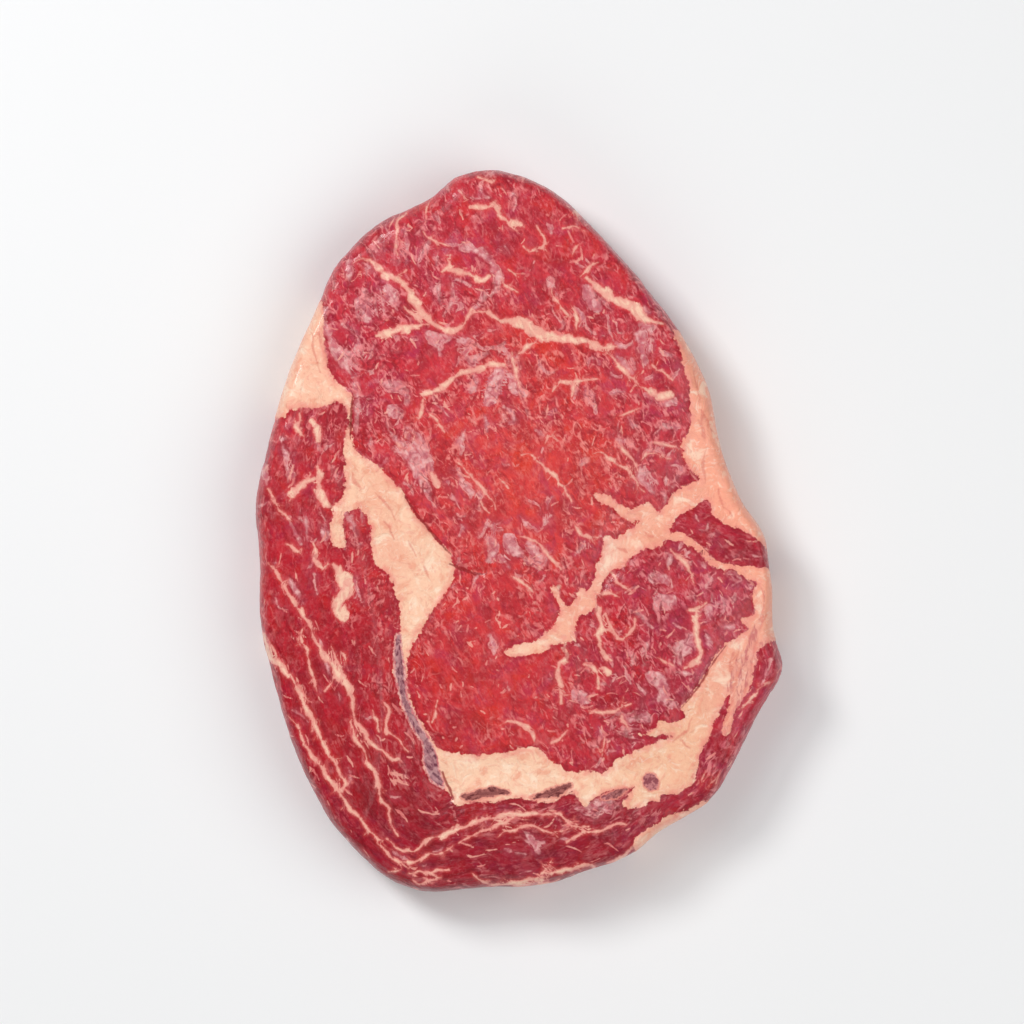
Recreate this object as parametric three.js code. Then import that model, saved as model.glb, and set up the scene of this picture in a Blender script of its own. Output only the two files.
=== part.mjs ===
// A raw boneless ribeye steak, lying flat on its lower cut face.
// Millimetres, +Z up, with the origin on the surface it lies on, under the middle of its outline.
// The steak is one closed solid: a domed and seamed upper cut face, a rounded side wall and a flat
// lower cut face.
import * as THREE from "three";

// Driving dimensions
const THICKNESS = 21.2; // between the cut faces, before the muscles swell it
const TOP_ROUND = 4.6; // how far in from the outline the upper cut face starts
const BASE_ROUND = 2.8; // how far in from the outline the steak touches the surface
const WAIST = 11; // height at which the side wall is widest
const SQUARENESS = 2.6; // power of the side wall's rounded corners: 2 is an ellipse, more is squarer

// Mesh steps
const RINGS = 28; // rings of the upper cut face, from its middle to its edge
const AROUND = 8 * RINGS; // points on each ring of the side wall
const TOP_STEPS = 4; // steps of the side wall above its waist
const BASE_STEPS = 3; // steps of the side wall below its waist

// The outline seen from above, anticlockwise from the top of the eye muscle, joined by a smooth curve.
const OUTLINE = [
  [-4, 90.6], [-15.5, 89.4], [-23.5, 83.4], [-36, 77.2], [-46.5, 66.8], [-51, 57], [-56.5, 44.5],
  [-60.5, 33], [-64, 20], [-66.8, 7], [-65.8, -8], [-65.8, -22.5], [-62.8, -36], [-58.8, -50.5],
  [-52.5, -65.5], [-44.5, -77.8], [-33.5, -87.8], [-22.5, -91.4], [-8, -90.2], [5, -89.8],
  [18, -85.8], [28, -82], [37, -75], [48, -68.3], [54.5, -58], [60.5, -46], [66.4, -35.5],
  [63.9, -24.5], [63.6, -13], [61.7, -1.6], [55.5, 8.5], [50.8, 21], [47.6, 35.5], [41, 49],
  [32, 61.5], [21.5, 73.3], [9.5, 84.8],
];

// The muscles, each a low dome on an ellipse: its middle, half its width and length, how far it is
// turned anticlockwise in degrees, and how far its middle stands up.
const MUSCLES = [
  { name: "eye", at: [0, 38], half: [44, 54], turn: 4, rise: 1.1 },
  { name: "lower lobe", at: [-6, -34], half: [21, 24], turn: 0, rise: 0.9 },
  { name: "cap", at: [37, -28], half: [20, 25], turn: -12, rise: 0.8 },
  { name: "side strip", at: [51, -2], half: [14, 5.5], turn: -25, rise: 0.5 },
  { name: "left band", at: [-50, -24], half: [14, 52], turn: 8, rise: 0.8 },
  { name: "lower band", at: [2, -78], half: [42, 10], turn: 4, rise: 0.6 },
  { name: "right tip", at: [56, -46], half: [6.5, 23], turn: -25, rise: 0.4 },
];

// The seams of fat and membrane between the muscles, each a shallow valley along a path.
const SEAM_DEPTH = 0.6;
const SEAM_WIDTH = 3.6;
const SEAMS = [
  { name: "diagonal", path: [[-57, 46], [-43, 27], [-37, 5], [-28, -14], [-29, -34], [-25, -52], [-19, -65]] },
  { name: "lower", path: [[-19, -62], [0, -60], [18, -63], [34, -58], [47, -40], [59, -22]] },
  { name: "right", path: [[42, 48], [46, 26], [49, 8], [60, -12]] },
  { name: "central", path: [[47, 8], [30, 2], [21, -8], [13, -21], [-3, -31]] },
];

// Long swells that keep the cut face from being flat, and the wall from being even.
const SWELL = 0.45;
const SWELL_LENGTH = [61, 83];
const LEAN = 0.22; // share by which the corner's width changes round the steak
const LEAN_WAVES = 5;

// The outline as an even ring of points, with the middle of its box moved to the origin.
function outlineRing(count) {
  const corners = OUTLINE.map(([x, y]) => new THREE.Vector3(x, y, 0));
  const curve = new THREE.CatmullRomCurve3(corners, true, "catmullrom", 0.5);
  curve.arcLengthDivisions = 20 * OUTLINE.length;
  const ring = curve.getSpacedPoints(count).slice(0, count);
  const middle = new THREE.Box3().setFromPoints(ring).getCenter(new THREE.Vector3());
  return { middle, points: ring.map((p) => new THREE.Vector2(p.x - middle.x, p.y - middle.y)) };
}

// How far each ring point can be moved in: the unit vector square to the outline, pointing inwards.
function inwards(points) {
  const count = points.length;
  return points.map((_, i) => {
    const along = points[(i + 1) % count].clone().sub(points[(i + count - 1) % count]).normalize();
    return new THREE.Vector2(-along.y, along.x);
  });
}

function distanceToPath(x, y, path) {
  let nearest = Infinity;
  for (let i = 0; i + 1 < path.length; i++) {
    const [ax, ay] = path[i];
    const [bx, by] = path[i + 1];
    const [dx, dy] = [bx - ax, by - ay];
    const share = ((x - ax) * dx + (y - ay) * dy) / (dx * dx + dy * dy);
    const held = Math.min(1, Math.max(0, share));
    nearest = Math.min(nearest, Math.hypot(x - ax - held * dx, y - ay - held * dy));
  }
  return nearest;
}

function dome(x, y, muscle) {
  const turn = THREE.MathUtils.degToRad(muscle.turn);
  const [dx, dy] = [x - muscle.at[0], y - muscle.at[1]];
  const across = (dx * Math.cos(turn) + dy * Math.sin(turn)) / muscle.half[0];
  const along = (dy * Math.cos(turn) - dx * Math.sin(turn)) / muscle.half[1];
  return Math.max(0, 1 - across * across - along * along);
}

// Height of the upper cut face at a place given in the outline's own numbers.
function faceHeight(x, y) {
  let height = THICKNESS;
  for (const muscle of MUSCLES) height += muscle.rise * Math.sqrt(dome(x, y, muscle));
  for (const seam of SEAMS) {
    height -= SEAM_DEPTH * Math.exp(-((distanceToPath(x, y, seam.path) / SEAM_WIDTH) ** 2));
  }
  const [longX, longY] = SWELL_LENGTH.map((length) => (2 * Math.PI) / length);
  return height + SWELL * Math.sin(longX * x + 0.5) * Math.cos(longY * y - 0.8);
}

// One corner of the side wall: how far in and how far towards the cut face, both from 0 to 1, as the
// angle goes from the waist to the face.
function corner(angle) {
  const power = 2 / SQUARENESS;
  return { inset: 1 - Math.cos(angle) ** power, reach: Math.sin(angle) ** power };
}

function steakGeometry() {
  const { middle, points } = outlineRing(AROUND);
  const inward = inwards(points);
  const positions = [];
  const triangles = [];
  const addPoint = (x, y, z) => positions.push(x, y, z) / 3 - 1;
  const topAt = (x, y) => faceHeight(x + middle.x, y + middle.y);

  // Side wall, from the edge of the upper cut face down to the edge of the lower one.
  const wall = [];
  const addRing = (insetOf, heightOf) => {
    const ring = points.map((p, i) => {
      const at = p.clone().addScaledVector(inward[i], insetOf(i));
      return addPoint(at.x, at.y, heightOf(at));
    });
    wall.push(ring);
  };
  const lean = (i) => 1 + LEAN * Math.sin((2 * Math.PI * LEAN_WAVES * i) / AROUND);
  for (let step = TOP_STEPS; step > 0; step--) {
    const { inset, reach } = corner((Math.PI / 2) * (step / TOP_STEPS));
    addRing(
      (i) => TOP_ROUND * lean(i) * inset,
      (at) => WAIST + (topAt(at.x, at.y) - WAIST) * reach,
    );
  }
  addRing(() => 0, () => WAIST);
  for (let step = 1; step <= BASE_STEPS; step++) {
    const { inset, reach } = corner((Math.PI / 2) * (step / BASE_STEPS));
    addRing(() => BASE_ROUND * inset, () => WAIST * (1 - reach));
  }
  for (let level = 0; level + 1 < wall.length; level++) {
    for (let i = 0; i < AROUND; i++) {
      const next = (i + 1) % AROUND;
      const [upper, lower] = [wall[level], wall[level + 1]];
      triangles.push(upper[i], lower[i], lower[next], upper[i], lower[next], upper[next]);
    }
  }

  // Upper cut face: rings of 8, 16, 24 and more points, like a square grid wrapped round the middle.
  const edge = wall[0].map((index) => new THREE.Vector2().fromArray(positions, 3 * index));
  const rings = [[addPoint(0, 0, topAt(0, 0))]];
  for (let ring = 1; ring < RINGS; ring++) {
    const made = [];
    for (let i = 0; i < 8 * ring; i++) {
      const place = (i * RINGS) / ring;
      const before = edge[Math.floor(place)];
      const after = edge[Math.ceil(place) % AROUND];
      const at = before.clone().lerp(after, place % 1).multiplyScalar(ring / RINGS);
      made.push(addPoint(at.x, at.y, topAt(at.x, at.y)));
    }
    rings.push(made);
  }
  rings.push(wall[0]);
  for (let ring = 1; ring <= RINGS; ring++) {
    const [outer, inner] = [rings[ring], rings[ring - 1]];
    for (let side = 0; side < 4; side++) {
      for (let i = 0; i < 2 * ring; i++) {
        const from = outer[2 * ring * side + i];
        const to = outer[(2 * ring * side + i + 1) % outer.length];
        const start = 2 * (ring - 1) * side;
        const near = inner[(start + Math.max(0, i - 1)) % inner.length];
        const far = inner[(start + Math.min(2 * ring - 2, i)) % inner.length];
        triangles.push(near, from, to);
        if (near !== far) triangles.push(near, to, far);
      }
    }
  }

  // Lower cut face: flat, inside the last ring of the wall.
  const base = wall[wall.length - 1];
  const contour = base.map((index) => new THREE.Vector2().fromArray(positions, 3 * index));
  for (const [a, b, c] of THREE.ShapeUtils.triangulateShape(contour, [])) {
    triangles.push(base[c], base[b], base[a]);
  }

  const geometry = new THREE.BufferGeometry();
  geometry.setAttribute("position", new THREE.Float32BufferAttribute(positions, 3));
  geometry.setIndex(triangles);
  geometry.computeVertexNormals();
  return geometry;
}

const meat = new THREE.MeshStandardMaterial({ color: 0xb83a42, roughness: 0.35, metalness: 0 });

const steak = new THREE.Mesh(steakGeometry(), meat);
steak.name = "steak";

const group = new THREE.Group();
group.add(steak);

export default group;
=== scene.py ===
"""A raw boneless ribeye steak, dressed over its CAD solid.

Plan places are in millimetres in the outline's own numbers, as in the part's source: +X towards the
fat cap and +Y towards the top of the eye muscle. The mesh itself is in metres, with the middle of the
outline's box at the origin.
"""
import math

import bpy
import numpy as np
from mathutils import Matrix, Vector


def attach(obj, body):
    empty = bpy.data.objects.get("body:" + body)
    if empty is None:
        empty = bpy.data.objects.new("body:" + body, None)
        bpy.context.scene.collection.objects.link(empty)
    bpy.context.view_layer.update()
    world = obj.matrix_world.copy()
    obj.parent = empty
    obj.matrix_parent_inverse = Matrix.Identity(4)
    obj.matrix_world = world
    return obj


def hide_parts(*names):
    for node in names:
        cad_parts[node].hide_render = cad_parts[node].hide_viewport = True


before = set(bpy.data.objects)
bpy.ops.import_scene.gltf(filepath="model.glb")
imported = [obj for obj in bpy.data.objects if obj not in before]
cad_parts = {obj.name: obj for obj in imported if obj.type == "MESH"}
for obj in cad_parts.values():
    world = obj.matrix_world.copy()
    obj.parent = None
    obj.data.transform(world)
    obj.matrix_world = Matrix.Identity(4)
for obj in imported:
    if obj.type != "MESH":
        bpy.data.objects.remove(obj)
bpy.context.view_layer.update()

MM = 0.001

# The solid's form, from the same sizes as the part's source
THICKNESS = 21.2
TOP_ROUND = 4.6
BASE_ROUND = 2.8
WAIST = 11.0
SQUARENESS = 2.6
LEAN = 0.22
LEAN_WAVES = 5
SEAM_DEPTH = 0.6
SEAM_WIDTH = 3.6
SWELL = 0.45
SWELL_LENGTH = (61.0, 83.0)
SWELL_SHIFT = (0.5, -0.8)

OUTLINE = [
    (-4, 90.6), (-15.5, 89.4), (-23.5, 83.4), (-36, 77.2), (-46.5, 66.8), (-51, 57), (-56.5, 44.5),
    (-60.5, 33), (-64, 20), (-66.8, 7), (-65.8, -8), (-65.8, -22.5), (-62.8, -36), (-58.8, -50.5),
    (-52.5, -65.5), (-44.5, -77.8), (-33.5, -87.8), (-22.5, -91.4), (-8, -90.2), (5, -89.8),
    (18, -85.8), (28, -82), (37, -75), (48, -68.3), (54.5, -58), (60.5, -46), (66.4, -35.5),
    (63.9, -24.5), (63.6, -13), (61.7, -1.6), (55.5, 8.5), (50.8, 21), (47.6, 35.5), (41, 49),
    (32, 61.5), (21.5, 73.3), (9.5, 84.8),
]

# Each muscle's low dome: middle, half its width and length, turn in degrees, and rise
DOMES = [
    ((0, 38), (44, 54), 4, 1.1),
    ((-6, -34), (21, 24), 0, 0.9),
    ((37, -28), (20, 25), -12, 0.8),
    ((51, -2), (14, 5.5), -25, 0.5),
    ((-50, -24), (14, 52), 8, 0.8),
    ((2, -78), (42, 10), 4, 0.6),
    ((56, -46), (6.5, 23), -25, 0.4),
]

SEAMS = [
    [(-57, 46), (-43, 27), (-37, 5), (-28, -14), (-29, -34), (-25, -52), (-19, -65)],
    [(-19, -62), (0, -60), (18, -63), (34, -58), (47, -40), (59, -22)],
    [(42, 48), (46, 26), (49, 8), (60, -12)],
    [(47, 8), (30, 2), (21, -8), (13, -21), (-3, -31)],
]

# Mesh steps: the rings are finer than the solid's, so that small relief and marbling can show
RINGS = 124
AROUND = 8 * RINGS
UPPER_LEVELS = 13
LOWER_LEVELS = 9
BASE_RINGS = RINGS // 2
INSET = 0.06  # keeps the skin just inside the solid's box
SOLID_AROUND = 8 * 28  # points round the solid, whose middle the skin shares
CORNER_SAMPLES = 400  # fine steps from which a rounded corner's even steps are taken
BASE_STEP = 0.8 / 60  # how far in the lower face's first ring lies, as a share of the way in

# The lean muscles, each a closed smooth curve. Where a muscle reaches the rim its curve runs past it.
EYE = [
    (-54, 60), (-49, 70), (-38, 81), (-26, 88), (-16, 95), (-2, 96), (12, 90), (24, 78), (36, 66),
    (44, 54), (39.1, 51.4), (38.6, 48.5), (40, 46), (40.7, 42.5), (41.4, 39.5), (42.3, 36.5),
    (42.6, 33), (42.6, 29), (42.8, 26.1), (41.6, 23.7), (40.5, 21.2), (41, 18.5), (42.2, 15.2),
    (44.2, 14.4), (45, 12.7), (42.3, 11.3), (39.4, 9.9), (37.3, 8.5), (37, 6.4), (34.2, 5),
    (32.7, 6.9), (30.6, 6.4), (27.5, 5.2), (24.9, 6.6), (22.1, 8.6), (19.5, 9.6), (18.2, 8.2),
    (20, 6.8), (22.4, 6), (24.9, 3.9), (27.4, 2.2), (29.8, 2.2), (29.1, 1.1), (26.3, -0.7),
    (24.5, -2.1), (21.5, -1.6), (20.8, -4.2), (20.1, -6.7), (19.4, -9), (18.1, -13.6),
    (16.7, -15.3), (15.3, -14.3), (14.5, -16.4), (13.1, -18.9), (11.4, -19), (10, -16.7),
    (9.8, -14.8), (9, -14), (3, -14.5), (-3, -12), (-7, -10.3), (-10, -10.5), (-12, -10.5),
    (-15, -9.3), (-17, -8.6), (-17.1, -6), (-19.9, -3.5), (-23.1, 0.4), (-25.9, 3.6),
    (-28.4, 7.5), (-30.2, 10.6), (-33, 13.8), (-36.1, 16.3), (-40, 19.1), (-41.8, 20.5),
    (-42.1, 23.3), (-42.1, 26.8), (-41.8, 32), (-42.1, 34.2), (-45.3, 36.4), (-47, 38.5),
    (-48.2, 41), (-48.6, 44.5), (-49, 48), (-49.3, 52), (-49, 55), (-50, 57.6),
]
LOWER_LOBE = [
    (-16.5, -10.5), (-17.5, -13.6), (-19.9, -17.8), (-22.8, -21.3), (-24.9, -24.9),
    (-26.3, -27.7), (-27.7, -30.5), (-28.2, -32.3), (-28.5, -35.8), (-28, -40.4), (-27, -44.2),
    (-25.2, -47.8), (-22.4, -51.7), (-21.4, -54), (-17.9, -55.5), (-15.1, -56.2), (-9.8, -56.2),
    (-4.9, -55.9), (-0.3, -54.8), (3.2, -54.3), (5.7, -55.5), (7.4, -57.6), (9.9, -59),
    (13.8, -60.1), (14, -50), (14, -38), (11.4, -28.7), (10.3, -28), (7.8, -29.4), (5, -30.7),
    (1.5, -31.4), (-2, -31.8), (-3.8, -31), (-4.2, -30.4), (-0.3, -28.9), (3.3, -28), (5, -26.6),
    (7.5, -24.9), (9.3, -22.4), (10.1, -20.3), (9.3, -17.8), (7.8, -15.7), (6.5, -12.5), (3, -12),
    (-3, -9.5), (-10, -9.2), (-15, -9.4),
]
CAP = [
    (11.4, -28.7), (12, -38), (12, -50), (12.5, -59.9), (17.3, -60.4), (20.5, -60.9),
    (22.6, -59.4), (25.1, -57.3), (28.7, -55.3), (32.7, -53.6), (37.3, -52.1), (37.4, -51.3),
    (33, -51.4), (29.9, -51.3), (31.7, -50.9), (33.5, -49.5), (34.2, -47.8), (37.7, -48.3),
    (39.8, -48.1), (41, -46.7), (40.9, -45.3), (40.2, -44.6), (42.3, -42.2), (44.7, -38.9),
    (46.9, -35.2), (48.6, -32.2), (51.1, -28.7), (53.9, -27), (56.7, -25.2), (56.4, -24.2),
    (55.3, -22.4), (58.5, -21), (58.5, -18.2), (58.5, -15.3), (59.2, -13.2), (56.7, -12.2),
    (55, -10.8), (51.8, -9.7), (48.3, -9), (46.5, -7.9), (45.4, -6.2), (43.3, -4.4), (40.5, -3),
    (37.7, -2.3), (35.9, -2.6), (34.9, -4.4), (31.7, -4.6), (28.9, -6.2), (27.1, -7.2),
    (26.4, -8.8), (24.5, -9.8), (22.5, -10.4), (19.7, -15.3), (18.8, -18.2), (18.1, -19.9),
    (15.3, -21), (14.2, -22.4), (14.2, -25.2), (13.5, -28),
]
SIDE_STRIP = [
    (37.5, -1), (37.7, 1.1), (39.1, 3.2), (41.2, 4.3), (42.6, 5.3), (44.7, 6.9), (47.2, 7.3),
    (47.9, 4.6), (50.4, 2.2), (53.5, 0.75), (57.1, -1), (60.2, -2.8), (66, -6), (66, -9.5),
    (63.4, -9.3), (58.8, -9), (55.3, -9), (51.8, -8.3), (48.3, -7.2), (46.5, -5.1), (44, -3),
    (41.2, -0.9), (39.1, -0.5),
]
OUTER_BAND = [
    (-69, 27), (-65, 30), (-61.5, 27.5), (-58.4, 29), (-56.6, 30.4), (-53.1, 30.7), (-49.9, 30.4),
    (-48.1, 31.1), (-46.4, 32), (-44.6, 31.3), (-43.4, 30), (-43, 26.8), (-43.7, 25),
    (-43.8, 19.8), (-43.8, 14.5), (-43.9, 11), (-44.4, 7.8), (-46, 6.5), (-47.1, 2.5),
    (-47.6, -1.4), (-47.3, -3.8), (-45.5, -4.4), (-43.5, -4.6), (-44.1, -1.4), (-44.1, 2.2),
    (-43.7, 4.3), (-41.5, 5.4), (-40, 5.2), (-38.3, 3), (-37.6, 0.2), (-37.3, -3), (-36.9, -6),
    (-36.2, -8), (-35.1, -9.3), (-33.3, -11.1), (-31.6, -13.9), (-30.3, -17.8), (-29.8, -21.7),
    (-29.8, -25.5), (-31.2, -26.3), (-31.6, -29.8), (-31.6, -34), (-30.9, -38.6), (-30.2, -41.1),
    (-29.4, -44.6), (-28, -47.8), (-25.2, -52.3), (-24.4, -54.8), (-24.4, -57.6), (-23.6, -61.2),
    (-22, -62.9), (-19.5, -64.7), (-17.8, -66.5), (-17, -68.2), (-14.8, -68.6), (-11.6, -68),
    (-8.4, -68.4), (-4.9, -68), (-2.4, -67), (-0.3, -67.3), (2.2, -67.5), (5.7, -68.1),
    (8.1, -68.3), (10.3, -67), (13.1, -65.8), (14.5, -67.2), (16.3, -69.3), (17.7, -67.5),
    (20.1, -66.4), (21.5, -65.7), (25.1, -65), (28.6, -63.9), (27.2, -66.1), (26.2, -69.2),
    (30.6, -69.3), (32, -67.9), (34.5, -68.2), (35.6, -66.1), (37.3, -65.9), (39.4, -66.1),
    (41.2, -64.7), (43, -63.6), (44, -61.2), (44.7, -57.6), (45.8, -54.8), (47.2, -52.3),
    (48.3, -49.9), (49.3, -46.7), (50.7, -43.9), (52.1, -40.6), (52.3, -42), (52, -45),
    (51.3, -47.8), (50.3, -49.5), (51, -51.8), (52.6, -50), (53, -47), (55.2, -43.4),
    (57.4, -40.7), (58.1, -37.6), (58.5, -35), (59.2, -32.3), (59.5, -29.8), (62.4, -28),
    (64.8, -27.5), (70, -30), (71, -38), (66, -48), (58, -62), (52, -66.5), (46.9, -67.6),
    (44.7, -69.2), (39.8, -70.8), (35.6, -72.6), (32.5, -74.6), (29.9, -76), (28.6, -78),
    (29.5, -80.5), (31, -83), (26, -88), (18, -92), (5, -96), (-10, -96), (-24, -97), (-37, -93),
    (-50, -81), (-58, -67), (-64, -51), (-68, -36), (-71, -22), (-71, -5), (-72, 8), (-71, 20),
]
LEAN_MUSCLES = [EYE, LOWER_LOBE, CAP, SIDE_STRIP, OUTER_BAND]

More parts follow.
